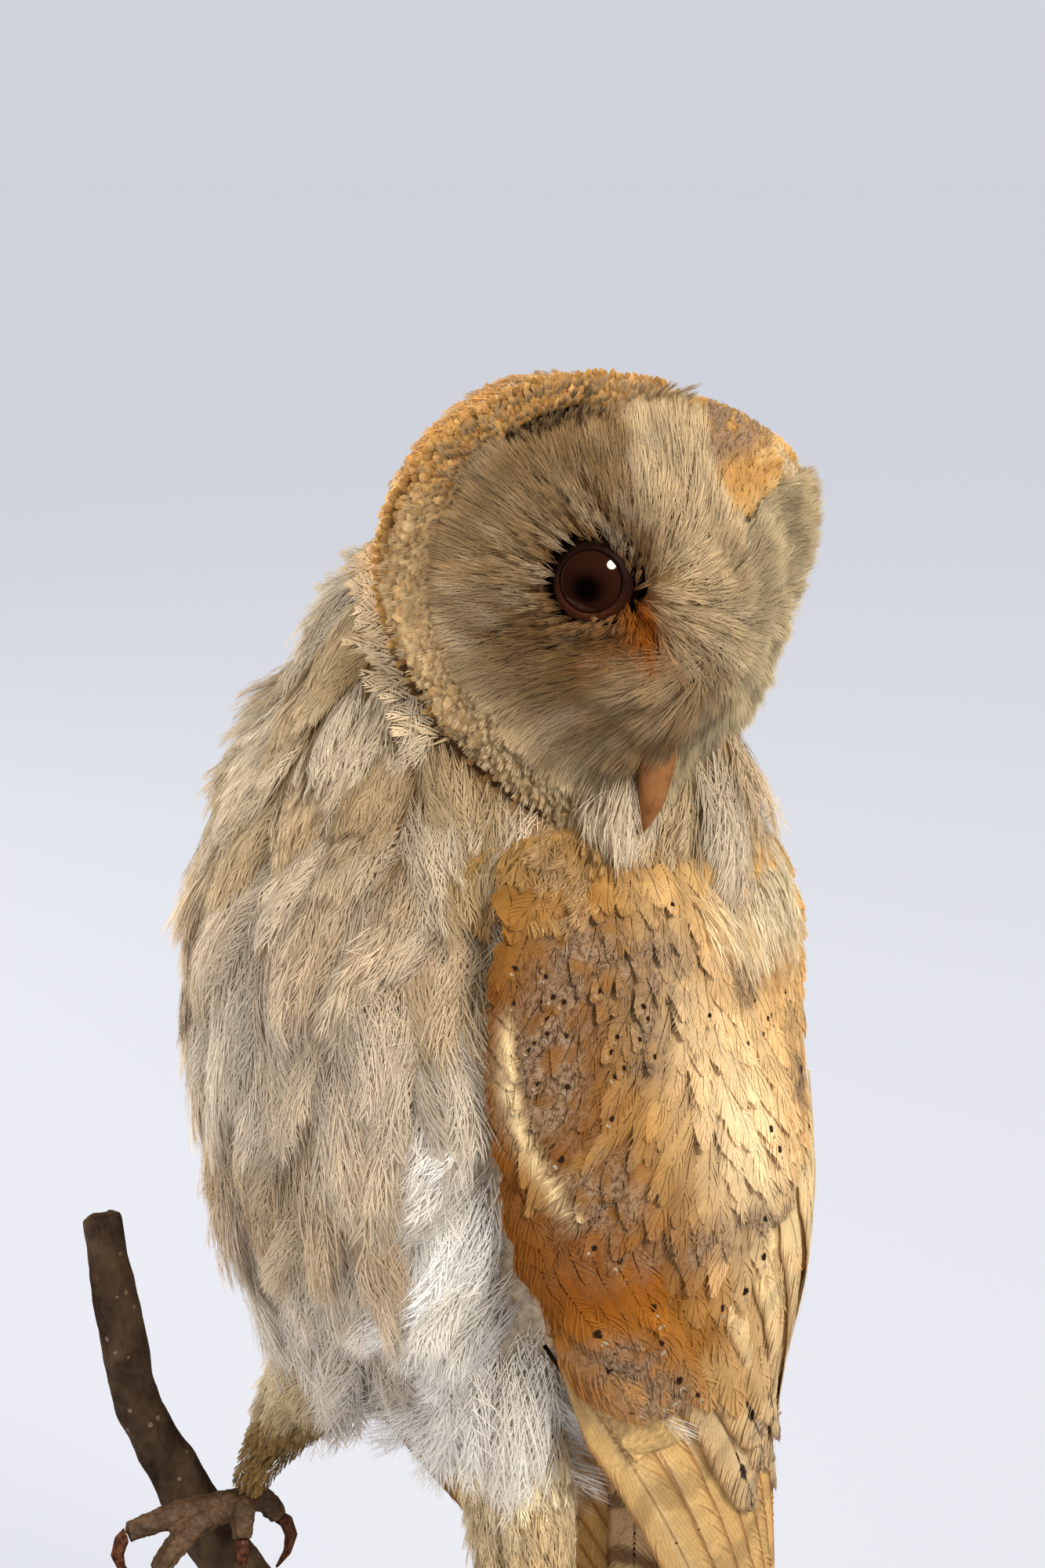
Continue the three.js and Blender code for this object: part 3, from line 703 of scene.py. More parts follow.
def vaned(spines, half_width, outline, rows, columns, cup, ragged, seed, wavy=0.04):
    """Closed smooth vanes. ragged is how uneven the edge is, and wavy how much the vane ripples."""
    random = np.random.default_rng(seed)
    count = spines.count
    half_width = column(half_width, count)
    share = np.linspace(0.03, 1.0, rows)
    u = np.broadcast_to(share, (count, rows))
    place, side, normal = spines.at(u)
    across = np.linspace(-1, 1, columns)
    edge = outline(np.minimum(u, 0.985)) * (1 + random.normal(0, ragged, (count, rows)))
    other = outline(np.minimum(u, 0.985)) * (1 + random.normal(0, ragged, (count, rows)))
    wide = np.where(across < 0, edge[..., None], other[..., None]) * across
    # the barbs sweep forward, so each row is a shallow V that points back to the root
    sweep = np.abs(across) * 0.10 * (1 - share[:, None]) * 0.5
    ahead, _, _ = spines.at(np.clip(u + 0.001, 0, 1))
    along = unit(ahead - spines.at(np.clip(u - 0.001, 0, 1))[0])
    length = np.linalg.norm(spines.control[:, 3] - spines.control[:, 0], axis=-1)[:, None, None, None]
    real = wide[..., None] * half_width[..., None, None]
    ripple = np.sin(u[..., None] * 9 + random.uniform(0, 6, (count, 1, 1)) + across * 1.5)[..., None] * wavy
    down = (ripple - cup * (wide[..., None] ** 2)) * half_width[..., None, None]
    points = place[:, :, None] + side[:, :, None] * real + normal[:, :, None] * down
    points = points + along[:, :, None] * (sweep[None, ..., None] * length)
    local = np.zeros(points.shape)
    local[..., 0], local[..., 1] = across, u[..., None]
    local[..., 2] = random.random(count)[:, None, None]
    i = (np.arange(rows - 1)[:, None] * columns + np.arange(columns - 1)[None, :]).reshape(-1)
    one = np.stack([i, i + 1, i + columns + 1, i + columns], -1)
    across_way = points[:, :, 1:] - points[:, :, :-1]
    along_way = points[:, 1:] - points[:, :-1]
    across_way = np.concatenate([across_way, across_way[:, :, -1:]], 2)
    along_way = np.concatenate([along_way, along_way[:, -1:]], 1)
    normals = unit(np.cross(across_way, along_way) + 1e-9)
    normals = normals * np.sign(dot(normals, normal[:, :, None]) + 1e-9)
    return {
        "points": points.reshape(-1, 3),
        "faces": [(np.arange(count)[:, None, None] * rows * columns + one[None]).reshape(-1, 4)],
        "vane": local.reshape(-1, 3),
        "owner": np.repeat(np.arange(count), rows * columns),
        "normals": normals.reshape(-1, 3),
    }


def raised(made, height):
    """The feathers lifted off those under them."""
    return made | {"points": made["points"] + made["normals"] * height}


def together(*parts):
    """Several sets of feathers with the same owners as one."""
    start, out = 0, {"points": [], "faces": [], "vane": [], "owner": [], "normals": []}
    for part in parts:
        out["faces"] += [f + start for f in part["faces"]]
        for key in ("points", "vane", "owner", "normals"):
            out[key].append(part[key])
        start += len(part["points"])
    return {key: value if key == "faces" else np.concatenate(value) for key, value in out.items()}


def opaque(colour):
    """The colours with a full alpha."""
    return np.concatenate([colour, np.ones((len(colour), 1))], -1)


def coat_piece(name, made, colour, unwrap, material, spot=0, pepper=0, bars=0, patch=(0.0015, 0.0015)):
    """Makes one piece of coat.

    colour and the marks (spot, pepper and bars) are per point. unwrap is the middle of each feather's patch
    on the map, and patch its half width and half height.
    """
    blank = np.zeros(len(colour))
    attributes = [
        ("coat", "FLOAT_COLOR", opaque(np.clip(colour, 0, 1))),
        ("vane", "FLOAT_VECTOR", made["vane"]),
        ("marks", "FLOAT_VECTOR", np.stack([blank + spot, blank + pepper, blank + bars], -1)),
        ("custom_normal", "FLOAT_VECTOR", made["normals"]),
    ]
    local = np.clip(made["vane"][:, :2] * [1.0, 2.0] - [0.0, 1.0], -1, 1)
    uv = np.clip(unwrap[made["owner"]] + local * patch, 0.0005, 0.9995)
    return make_object(name, made["points"], made["faces"], attributes, uv, material)


def split_places(places, spacing, seed):
    """(places that lead a lock of feathers, each place's lock, its distance to the lock's leader)."""
    order = np.random.default_rng(seed).permutation(len(places))
    leaders = []
    for i in order:
        if not leaders or ((places[leaders] - places[i]) ** 2).sum(-1).min() > spacing**2:
            leaders.append(i)
    leaders = np.array(leaders)
    far = ((places[:, None] - places[None, leaders]) ** 2).sum(-1)
    return leaders, far.argmin(1), np.sqrt(far.min(1))


# ---------------------------------------------------------------- colours of the coat
CREAM, YELLOW, GOLD, ORANGE = srgb("d3c09f"), srgb("c8a462"), srgb("c89350"), srgb("aa6620")
PALE_GOLD, PINK_GREY, DARK_BROWN = srgb("e6c78e"), srgb("a98a6b"), srgb("3c2414")
# a feather's darker, warmer root: partly its own base, partly painted warm shade deep in the coat
ROOT_TINT_AND_SHADE = np.array([0.62, 0.50, 0.36])


def shade_of(base, *layers):
    """base with (colour, share) layers over it, share per point. A colour may be given as its hex code."""
    colour = linear(base)
    for layer, share in layers:
        colour = mix(colour, linear(layer), np.asarray(share)[..., None])
    return colour


def shaded(colour, tint, share):
    """The colours multiplied by a tint, by a share per point."""
    return colour * mix(np.ones(3), np.asarray(tint), share[:, None])


def bump_at(x, z, at_x, at_z, wide, high):
    """A soft round spot."""
    return np.exp(-(((x - at_x) / wide) ** 2) - ((z - at_z) / high) ** 2)


def body_colour(p, normal):
    """Breast, belly, neck and back by the feather's root, which is above the place where its colour shows."""
    x, y, z = p.T
    streak = step(0.0, 1.0, wave(p * [1.6, 1.6, 0.45], 26, 1))
    cloud = step(-0.4, 1.0, wave(p * [1, 1, 0.5], 50, 2))
    pale = step(-0.1, 1.0, wave(p * [1.3, 1.3, 0.5], 34, 3))
    neck = step(282, 305, z)
    inner_edge = 36 - 11 * step(245, 212, z)
    thigh = step(inner_edge - 4, inner_edge + 2, x) * step(270, 260, z) * step(-12, -26, y)
    low = step(206, 186, z) * step(-10, 6, x)
    front = shade_of(
        "d6c2a4",
        ("bca283", 0.6 * cloud),
        ("ccae78", 0.35 * streak),
        ("ece2d0", 0.55 * pale),
        ("c3ab80", 0.55 * neck),
        ("eae4da", 0.60 * step(238, 208, z)),
        ("faf6ee", np.clip(0.95 * thigh + 0.35 * low, 0, 1)),
    )
    # painted shadow: darker and warmer under the ruff (chin) and in the fold between the breast and the wing
    chin = step(-6, 6, x) * step(42, 30, x) * step(-16, -26, y) * step(286, 300, z)
    fold = bump_at(x, z, 39.0, 277.0, 5.0, 9.0) * step(-36, -44, y) * (1 - thigh)
    front = shaded(front, [0.60, 0.53, 0.42], np.clip(0.40 * chin + fold, 0, 1))
    mantle = shade_of("c08c4c", (PALE_GOLD, 0.5 * pale), (PINK_GREY, 0.4 * cloud))
    nape = shade_of("f2e6cc", (YELLOW, 0.18 + 0 * z))
    back = step(8, 36, y) * step(-0.1, 0.5, normal[:, 1])
    return mix(front, mix(mantle, nape, (step(268, 300, z) * 0.85)[:, None]), back[:, None])


def crown_colour(q):
    """The back of the head and the forehead, by place in the head's frame."""
    cloud = step(-0.2, 0.8, wave(q, 16, 4))
    fine = step(0.0, 0.8, wave(q, 6, 5))
    low = step(6, -18, q[:, 2])
    gold = shade_of(GOLD, (PALE_GOLD, 0.6 * cloud), (PINK_GREY, 0.35 * fine))
    return shade_of(gold, (CREAM, 0.85 * low), (YELLOW, 0.25 * low * cloud))


def inside(corners, x, z):
    """True inside a closed outline of corners."""
    result = np.zeros(len(x), bool)
    for (x0, z0), (x1, z1) in zip(corners, corners[1:] + corners[:1]):
        crosses = (z0 > z) != (z1 > z)
        result ^= crosses & (x < x0 + (z - z0) * (x1 - x0) / ((z1 - z0) or 1e-9))
    return result


# the golden patch that comes down between the half discs, and its pale tip
FOREHEAD = [(5.0, 18.5), (6.5, 26.0), (9.5, 35.5), (22, 37), (36.0, 27.0), (33, 23.5), (12.5, 17.0)]
FOREHEAD_TIP = [(3.0, 15.0), (3.5, 21.5), (9.0, 21.0), (10.5, 16.0)]


def at_slit(degrees, wider=0):
    """1 along the rim's upper left, where a dark gap shows between the disc and the ruff."""
    return step(306 - wider, 314 - wider, degrees) * step(342 + wider, 332 + wider, degrees)


def at_low_left(degrees):
    """1 along the rim's lower left, where the ruff is broadest."""
    return step(302, 288, degrees) * step(184, 200, degrees)


def face_colour(x, z):
    """The facial disc by place in the head's frame, with its plumes' lighter and darker clumps; the far half
    disc past the crest is darker as painted shade.
    """
    clump = wave(flat(x, z), 8, 10)
    colour = shade_of(
        face_paint(x, z),
        ("dccbaa", 0.30 * step(0.25, 1.0, clump)),
        ("4c361c", 0.26 * step(-0.25, -1.0, clump)),
    )
    # painted shade: the far half disc past the crest darker
    return colour * mix(0.95, 0.78, step(-12, 4, x))[:, None]


def face_paint(x, z):
    """The disc's colours: pale, brown round the eyes, painted shade in the hollow below them, rusty beside
    the bill and painted shadow in the cleft.
    """
    share, _ = disc_share(x, z)
    side = np.abs(x)
    away = np.hypot(side - EYE[0], z - EYE[2])
    cloud = step(-0.3, 0.8, wave(flat(x, z), 15, 6))
    rust = bump_at(side, z, 13.8, 1.8, 1.9, 2.8) + bump_at(side, z, 12.3, -1.8, 2.0, 2.8)
    rust = rust + bump_at(side, z, 11.0, -5.8, 1.7, 3.4)
    inner = step(14.5, 9.5, side) * step(-12, 2, z)
    # painted shadow in the cleft behind the crest, deepest below the forehead patch
    cleft = 0.5 + 2.5 * step(-2, 15, z)
    shadow = step(cleft, cleft + 0.8, x) * step(cleft + 6.0, cleft + 2.5, x) * step(-10, 6, z)
    outer = step(5.0, 11.0, x)
    return shade_of(
        "8f7148",
        ("a98f68", 0.45 * cloud),
        ("d0b88f", 0.90 * inner),
        ("c6b490", 0.60 * step(0.55, 0.85, share) * step(14, -24, z)),
        ("b39a72", 0.5 * step(0.8, 1.0, share)),
        ("7a5f3c", 0.60 * bump_at(x, z, -17, 16, 7, 6)),
        # darker brown below and outside each eye: painted shade in the disc's hollow over its own brown
        ("62401f", 0.62 * bump_at(side, z, 28, -8.5, 8.0, 5.5)),
        ("735028", 0.50 * bump_at(side, z, 23, -17, 8, 5)),
        ("5c370f", 0.70 * bump_at(side, z, 18.5, -6.5, 4.5, 3.0)),
        ("6a4524", 0.65 * step(13.0, 8.5, away) * step(10, 16, side)),
        ("5f4323", 0.55 * bump_at(side, z, 17.5, 14.5, 7, 4.5)),
        ("c2ae86", 0.90 * outer),
        ("cdb98f", 0.70 * step(0.2, 1.5, x) * step(2, -8, z)),
        ("4a3014", 0.90 * shadow),
        ("94520f", np.clip(1.6 * rust * (x < 0), 0, 1)),
        ("42180a", 0.8 * bump_at(side, z, 14.6, 4.2, 1.6, 2.2) * (x < 0)),
        ("85592c", 0.55 * bump_at(side, z, 0, -19, 5, 7)),
    )


def vary(colour, made, amount, seed):
    """Gives each feather its own lightness."""
    random, owner = np.random.default_rng(seed), made["owner"]
    return colour * (1 + random.normal(0, amount, owner.max() + 1))[owner][:, None]


def toned(colour, made, rooted, tip_pale, uneven, seed, reach=0.55):
    """Warms and darkens each feather towards its root, partly its own darker base and partly painted warm
    shade deep in the coat, pales its tip, and gives it its own lightness.
    """
    along = made["vane"][:, 1:2]
    rooted = rooted * (1 - step(0.0, reach, along))
    colour = colour * mix(np.ones(3), ROOT_TINT_AND_SHADE, rooted) * (1 + tip_pale * step(0.6, 1.0, along))
    return vary(colour, made, uneven, seed)


# ---------------------------------------------------------------- skin
FLESH = ["head", "neck", "trunk", "wing_left_arm", "wing_right_arm", "leg_left", "leg_right"]
COAT_DEPTHS = [2.4, 3.4, 3.4, 1.2, 1.2, 2.6, 2.0]
ON_HEAD, ON_TRUNK, ON_WINGS, ON_LEGS = 0, 2, (3, 4), (5, 6)


def nearest_node(places, names):
    """The index of the CAD node nearest to each place."""
    far = []
    for name in names:
        points, triangles = cad_arrays(name)
        tree = BVHTree.FromPolygons(points.tolist(), triangles.tolist())
        far.append([tree.find_nearest(place)[3] for place in places.tolist()])
    return np.argmin(np.array(far), axis=0)


def skin_colour(points, normals, node):
    """The coat's own colours, darkened as painted shade deep in the coat so that a gap between feathers
    doesn't show, with painted shadow in the slit at the rim's upper left.
    """
    q = to_head(points)
    on_face = (node == ON_HEAD) & (q[:, 1] < -2)
    colour = body_colour(points, normals)
    colour[node == ON_HEAD] = crown_colour(q[node == ON_HEAD])
    colour[on_face] = face_colour(q[on_face, 0], q[on_face, 2])
    for k in ON_WINGS:
        colour[node == k] = wing_colour(points[node == k])
    for k in ON_LEGS:
        colour[node == k] = leg_colour(points[node == k], FLESH[k])
    # painted shade: darker and warmer than the coat over it, less so on the wings
    colour = colour * mix(ROOT_TINT_AND_SHADE * 0.8, np.ones(3) * 0.9, np.isin(node, ON_WINGS)[:, None])
    share, angle = disc_share(q[:, 0], q[:, 2])
    # painted shadow in the slit between the disc and the ruff
    slit = on_face * (share > 0.78) * at_slit(np.degrees(angle), 2)
    return mix(colour, srgb("2c1c10"), slit[:, None])


def make_skin():
    """One closed skin inside the flesh nodes by the coat's depth. Returns the surface that the coat fills."""
    points, triangles = refined(FLESH, voxel=1.5, smooth=6)
    flesh = Surface(points, triangles)
    node = nearest_node(points, FLESH)
    depth = np.choose(node, COAT_DEPTHS)
    for _ in range(12):  # the depth changes gently from one node to the next
        total, count = np.zeros(len(points)), np.zeros(len(points))
        for k in range(3):
            np.add.at(total, triangles[:, k], depth[triangles[:, (k + 1) % 3]])
            np.add.at(count, triangles[:, k], 1)
        depth = (depth + total / np.maximum(count, 1)) / 2
    inner = points - flesh.normals * depth[:, None]
    n = Nodes("skin", 0.9, 0.1)
    tone = n.ramp(n.noise(0.0015, 3), 0.3, 0.7, 0.6, 1.0)
    n.colour(n.scaled(n.attribute("coat").outputs["Color"], tone))
    n.bump(n.noise(0.0008, 2), 0.6, 0.0006)
    coat = opaque(skin_colour(points, flesh.normals, node))
    skin = make_object("skin", inner, [triangles], [("coat", "FLOAT_COLOR", coat)], None, n.material)
    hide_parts(*FLESH)
    return flesh


# ---------------------------------------------------------------- face
def face_flow(x, z):
    """The way the face's plumes lie: out from the eye, and down either side of the bill."""
    s = np.sign(np.where(x == 0, -1, x))
    eye_x, eye_z = x - s * (EYE[0] - 1), z - EYE[2]
    away = np.hypot(eye_x, eye_z)
    from_eye = np.stack([eye_x, eye_z], -1) / np.maximum(away, 1)[:, None]
    bill_x, bill_z = x - s * 1.0, z + 2.0
    reach = np.hypot(bill_x, bill_z)
    from_bill = np.stack([bill_x, bill_z], -1) / np.maximum(reach, 1)[:, None]
    from_bill = from_bill + np.stack([s * 0.25, -0.35 + 0 * z], -1)
    share = (step(2, -8, z) * np.exp(-((reach / 26) ** 2)))[:, None]
    flow = from_eye * (1 - share) + from_bill * share * 1.6
    high = step(14, 18, z)
    for way_x, way_z, part in (
        # past the crest the plumes stream outwards, over the far eye
        (1.0, 0.25 - 0.9 * step(12, -14, z), step(1.5, 4.0, x) * step(15, 10, x) * (1 - high)),
        # beside the forehead patch they lie upwards, and past it outwards
        (0.30, 1.0, high * step(-12, -2, x) * step(12, 8, x)),
        (1.0, 0.30 * step(30, 8, z) - 0.4 * step(5, -20, z), step(10, 16, x)),
        # on the far cheek they hang
        (0.30 + 0.01 * x, -1.0, step(0.5, 3.0, x) * step(1, -7, z)),
    ):
        flow = mix(flow, np.stack([way_x + 0 * x, way_z + 0 * x], -1), part[:, None])
    sway = np.stack([wave(flat(x, z), 20, 7), wave(flat(x, z), 20, 8)], -1) * 0.16
    return unit(flow + sway)


def eye_gaze(side):
    """The way the eye on that side looks, in the head's frame."""
    return unit(np.array([side * 0.70, -0.71, 0.08]))


def eye_distance(x, z, side):
    """How far places on the face are from the line of sight of the eye on that side."""
    out = face_surface(x, z) - EYE * [side, 1, 1]
    return np.linalg.norm(out - eye_gaze(side) * dot(out, eye_gaze(side)), axis=-1)


def face_places(side, spacing, random):
    """Roots of the plumes on one half of the disc, in the head's frame."""
    tries = random.uniform([0, -47], [50, 43], (60000, 2))
    x, z = tries[:, 0] * side, tries[:, 1]
    share, _ = disc_share(x, z)
    bill = (np.abs(x) < 3.2) & (z < -19)
    good = (share < 0.93) & (eye_distance(x, z, side) > 6.3) & ~bill
    x, z = x[good], z[good]
    taken = thinned(flat(x, z), spacing)
    x, z = x[taken], z[taken]
    bare = inside(FOREHEAD, x, z)
    return x[~bare], z[~bare]


def head_spines(root, tip, root_normal, tip_normal, heading, rise=0.1):
    """Spines given in the head's frame."""
    ways = (v @ HEAD_TO_WORLD for v in (root_normal, tip_normal, heading))
    return Spines(from_head(root), from_head(tip), *ways, rise)


FACE_MAP_WIDTH = 110


def face_unwrap(x, z):
    """Places on the map of the face."""
    return np.stack([x / FACE_MAP_WIDTH + 0.5, z / FACE_MAP_WIDTH + 0.5], -1)


def plume_ends(x, z, flow, length, side, limit):
    """Where plumes end, seen from the front, and how long that leaves them."""
    place = np.stack([x, z], -1)
    end = place + flow * length[:, None]
    end_share, _ = disc_share(end[:, 0], end[:, 1])
    length = length * (1 - np.clip((end_share - limit) / 0.25, 0, 0.7))
    end = place + flow * length[:, None]
    for _ in range(3):  # they end at the forehead patch
        end = mix(end, place, 0.35 * inside(FOREHEAD, end[:, 0], end[:, 1])[:, None])
    length = np.hypot(end[:, 0] - x, end[:, 1] - z)
    # the near side's plumes end at the cleft
    past = mix(5.0, 0.5 + 2.0 * step(-2, 15, z), step(20, 15, z))
    end[:, 0] = np.minimum(end[:, 0], past) if side < 0 else np.maximum(end[:, 0], -0.5)
    return end[:, 0], end[:, 1], length


def make_half_face(name, side, seed, material):
    """The plumes on one half of the facial disc."""
    random = np.random.default_rng(seed)
    x, z = face_places(side, 0.95, random)
    count = len(x)
    # neighbours gather into small locks
    flow, place = face_flow(x, z), np.stack([x, z], -1)
    leaders, lock, far = split_places(flat(x, z), spacing=3.6, seed=seed)
    goal = place[leaders] + flow[leaders] * 11
    flow = unit(mix(flow, unit(goal[lock] - place), 0.4) + random.normal(0, 0.06, flow.shape))
    from_eye = eye_distance(x, z, side)
    length = mix(3.6, 12.0, step(6.8, 19, from_eye)) * random.uniform(0.75, 1.15, count)
    length *= mix(1, 0.6, bump_at(x, z, 0, -26, 8, 12))
    far_side = step(3.5, 6.5, x) * step(15, 11, x) * step(-12, -4, z) * step(16, 12, z)
    length = mix(length, 11.0, far_side)
    # the plumes stop short of the ruff, except for the fluff on the far side
    fluff = step(24, 34, x) * step(30, 20, z) * step(-34, -16, z)
    degrees = np.degrees(disc_share(x, z)[1])
    limit = 0.93 - 0.085 * at_slit(degrees) + 0.16 * fluff - 0.06 * at_low_left(degrees)
    end_x, end_z, length = plume_ends(x, z, flow, length, side, limit)
    end_share, _ = disc_share(end_x, end_z)
    root, root_normal = face_frame(x, z)
    tip, tip_normal = face_frame(end_x, end_z)
    heading = unit(tip - root)
    # by the crest the near side's plumes reach over it, and the far side's lie low behind them
    crest = np.exp(-(((x + 1.5) / 4.5) ** 2)) * step(-30, -16, z) * (side < 0)
    near_bill = bump_at(np.abs(x), z, 4, -25, 3.2, 9)
    behind = step(7.0, 2.0, x) * (side > 0) * (1 - far_side)
    lift = random.uniform(0.2, 1.4, count)
    lift = lift + 0.9 * (1 - np.minimum(far / 2.4, 1)) + 0.5 * wave(flat(x, z), 13, 2)
    lift += 0.8 * step(0.75, 0.95, end_share) + 3.0 * far_side * random.uniform(0.6, 1.1, count)
    lift += fluff * random.uniform(-0.6, 1.6, count) + 4.0 * crest - 1.2 * behind + 3.0 * near_bill
    root = root - root_normal * mix(0.7, 1.8, step(7, 11, from_eye))[:, None]
    tip = tip + tip_normal * lift[:, None]
    spines = head_spines(root, tip, root_normal, tip_normal, heading)
    made = barbed(
        spines, length * 0.20, lobe(4.0, 0.5), barbs=11, reach=0.72, blade=0.056, tilt=0.3, mess=0.45,
        seed=seed, cup=0.08, shaft=0.05, last=0.72, round_off=0.25,
    )
    owner = made["owner"]
    q = to_head(made["points"])
    # the near side's plumes keep their own colour where they reach over the cleft's painted shadow
    own_x = side * np.maximum(side * q[:, 0], 0.6)
    colour = mix(face_colour(own_x, q[:, 2]), face_colour(x, z)[owner], 0.3)
    tint = (1 + random.normal(0, 0.07, len(leaders)))[lock][owner][:, None]
    rooted = mix(0.1, 0.5, step(7, 10, from_eye))[owner][:, None]
    colour = toned(colour, made, rooted, tip_pale=0.45, uneven=0.06, seed=seed) * tint
    coat_piece(name, made, colour, face_unwrap(x, z), material)


def make_face(material):
    make_half_face("face_right", -1, 21, material)
    make_half_face("face_left", 1, 22, material)


def make_forehead(material):
    """The smooth golden patch that comes down between the half discs."""
    random = np.random.default_rng(31)
    x, z = random.uniform([4, 15], [38, 40], (4000, 2)).T
    share, _ = disc_share(x, z)
    good = inside(FOREHEAD, x, z) & (share < 1.02)
    x, z = x[good], z[good]
    taken = thinned(flat(x, z), 1.7)
    x, z = x[taken], z[taken]
    count = len(x)
    flow = unit(np.stack([0.75 + 0.01 * x, 0.75 + 0 * x], -1) + random.normal(0, 0.12, (count, 2)))
    length = random.uniform(5.5, 7.5, count)
    end = np.stack([x, z], -1) + flow * length[:, None]
    end_share, _ = disc_share(end[:, 0], end[:, 1])
    root, root_normal = face_frame(x, z)
    tip, tip_normal = face_frame(*(end / np.maximum(end_share / 1.03, 1)[:, None]).T)
    tip = tip + tip_normal * random.uniform(0.3, 0.9, count)[:, None]
    spines = head_spines(root - root_normal * 1.0, tip, root_normal, tip_normal, unit(tip - root))
    outline = lobe(4.0, 0.3)
    made = together(
        vaned(spines, length * 0.24, outline, rows=7, columns=5, cup=0.3, ragged=0.08, seed=32),
        barbed(
            spines, length * 0.30, outline, barbs=12, reach=0.4, blade=0.13, tilt=0.2, mess=0.2, seed=33,
            cup=0.3,
        ),
    )
    q = to_head(made["points"])
    q_x, q_z = q[:, 0], q[:, 2]
    high = step(26, 31, q_z + 0.25 * (20 - q_x))
    colour = shade_of(
        "bd8f50",
        ("dcb77a", 0.6 * step(-0.2, 0.8, wave(flat(q_x, q_z), 9, 3))),
        ("8b7156", 0.85 * high),
        (CREAM, 0.9 * inside(FOREHEAD_TIP, q_x, q_z)),
    )
    colour = toned(colour, made, rooted=0.6, tip_pale=0.2, uneven=0.07, seed=34)
    coat_piece("forehead", made, colour, face_unwrap(x, z), material, pepper=0.6 * high)


# ---------------------------------------------------------------- ruff
RUFF_ROWS, RUFF_AROUND = 12, 250
MAP_TURN = 6.4  # a full turn in radians, with a little room left on the map


def rim_place(angle, share):
    """(place, normal) on the disc at a share of the way to its rim."""
    x, z = disc_outline(angle % (2 * np.pi))
    return face_frame(x * share, z * share)


def ruff_tint(row, turn, degrees, scallops, random):
    """The colour of each of the ruff's feathers: gold, with cream scallops and dark spots low on the rim, and
    painted shade on its lower left.
    """
    rim = row >= RUFF_ROWS - 2
    crimp = 0.5 + 0.5 * np.sin(turn * 2.1 + row * 1.7)
    flecks = random.uniform(0, 0.45, len(row))
    gold = shade_of("a67a42", ("cda466", 0.75 * crimp), ("6c4820", flecks))
    cream = shade_of("c4a97c", ("ad8248", random.uniform(0, 0.4, len(row))))
    pale = np.clip(scallops * ~rim + step(250, 225, degrees) * (degrees > 180) * ~rim * 0.8, 0, 1)
    # painted shade on the ruff's lower left, below the face
    low = step(238, 222, degrees) * step(190, 202, degrees)
    spots = np.sin(degrees * 1.35 + 2 * np.sin(degrees * 0.21)) > 0.0
    dark = (row >= RUFF_ROWS - 3) * spots * step(256, 244, degrees) * step(176, 186, degrees)
    far_side = step(28, 45, degrees) * step(165, 140, degrees)
    colour = mix(gold, cream, pale[:, None]) * mix(1.0, 0.62, low)[:, None]
    return shade_of(colour, (DARK_BROWN, 0.9 * dark), (CREAM, 0.65 * far_side))


def make_ruff(material):
    """Rows of small stiff crimped feathers round the disc's rim."""
    row, turn = (v.ravel() for v in np.meshgrid(np.arange(RUFF_ROWS), np.arange(RUFF_AROUND), indexing="ij"))
    random = np.random.default_rng(47)
    count = len(row)
    angle = (turn + 0.5 * (row % 2)) / RUFF_AROUND * 2 * np.pi + random.normal(0, 0.006, count)
    degrees = np.degrees(angle % (2 * np.pi))
    innermost = 0.885 - 0.045 * at_low_left(degrees)
    share = mix(innermost, 1.012, row / (RUFF_ROWS - 1)) + random.normal(0, 0.003, count)
    share += 0.006 * np.sin(angle * 11 + row) * (row < RUFF_ROWS - 1)
    share = mix(share, np.maximum(share, 0.915 + 0.1 * (share - 0.885)), at_slit(degrees))
    # the broad cream scallops, with small feathers at the rim
    scallops = step(296, 276, degrees) * step(215, 232, degrees) * (row < RUFF_ROWS - 3)
    inner = np.minimum(share, 1.0)
    root, normal = rim_place(angle, inner)
    tip, _ = rim_place(angle + random.normal(0, 0.02, count), inner + 0.035)
    outward = unit(tip - root)
    # at the rim itself the feathers turn outwards and back
    turned = step(0.95, 1.02, share)[:, None]
    centre_out = unit(flat(root[:, 0], root[:, 2]))
    outward = unit(mix(outward, centre_out, 0.55 * turned))
    normal = unit(mix(normal, np.array([0, -1.0, 0]), 0.5))
    length = (random.uniform(2.3, 3.1, count) * mix(1, 1.6, scallops))[:, None]
    stand = mix(0.20, 0.08, turned) + random.normal(0, 0.07, (count, 1)) - 0.06 * scallops[:, None]
    root = root - normal * 0.6 - outward * 0.8
    tip = root + (outward + normal * stand) * length
    half = random.uniform(0.60, 0.85, count) * mix(1, 1.9, scallops)
    spines = head_spines(root, tip, normal, unit(normal + outward * 0.2), unit(outward + normal * 0.4), 0.12)
    outline = lobe(11.0, 0.25)
    made = together(
        vaned(spines, half * 0.85, outline, rows=5, columns=5, cup=0.15, ragged=0.13, seed=48, wavy=0.06),
        barbed(
            spines, half, outline, barbs=4, reach=0.45, blade=0.11, tilt=0.2, mess=0.20, seed=50,
            cup=0.15, shaft=0.0,
        ),
    )
    owner = made["owner"]
    tint = ruff_tint(row, turn, degrees, scallops, random)
    colour = toned(tint[owner], made, rooted=1.0, tip_pale=0.25, uneven=0.10, seed=49, reach=0.8)
    colour = shade_of(colour, ("95672c", 0.6 * step(0.78, 0.95, made["vane"][:, 1]) * scallops[owner]))
    unwrap = np.stack([(angle % (2 * np.pi)) / MAP_TURN + 0.005, 0.05 + row / RUFF_ROWS * 0.9], -1)
    coat_piece("ruff", made, colour, unwrap, material)


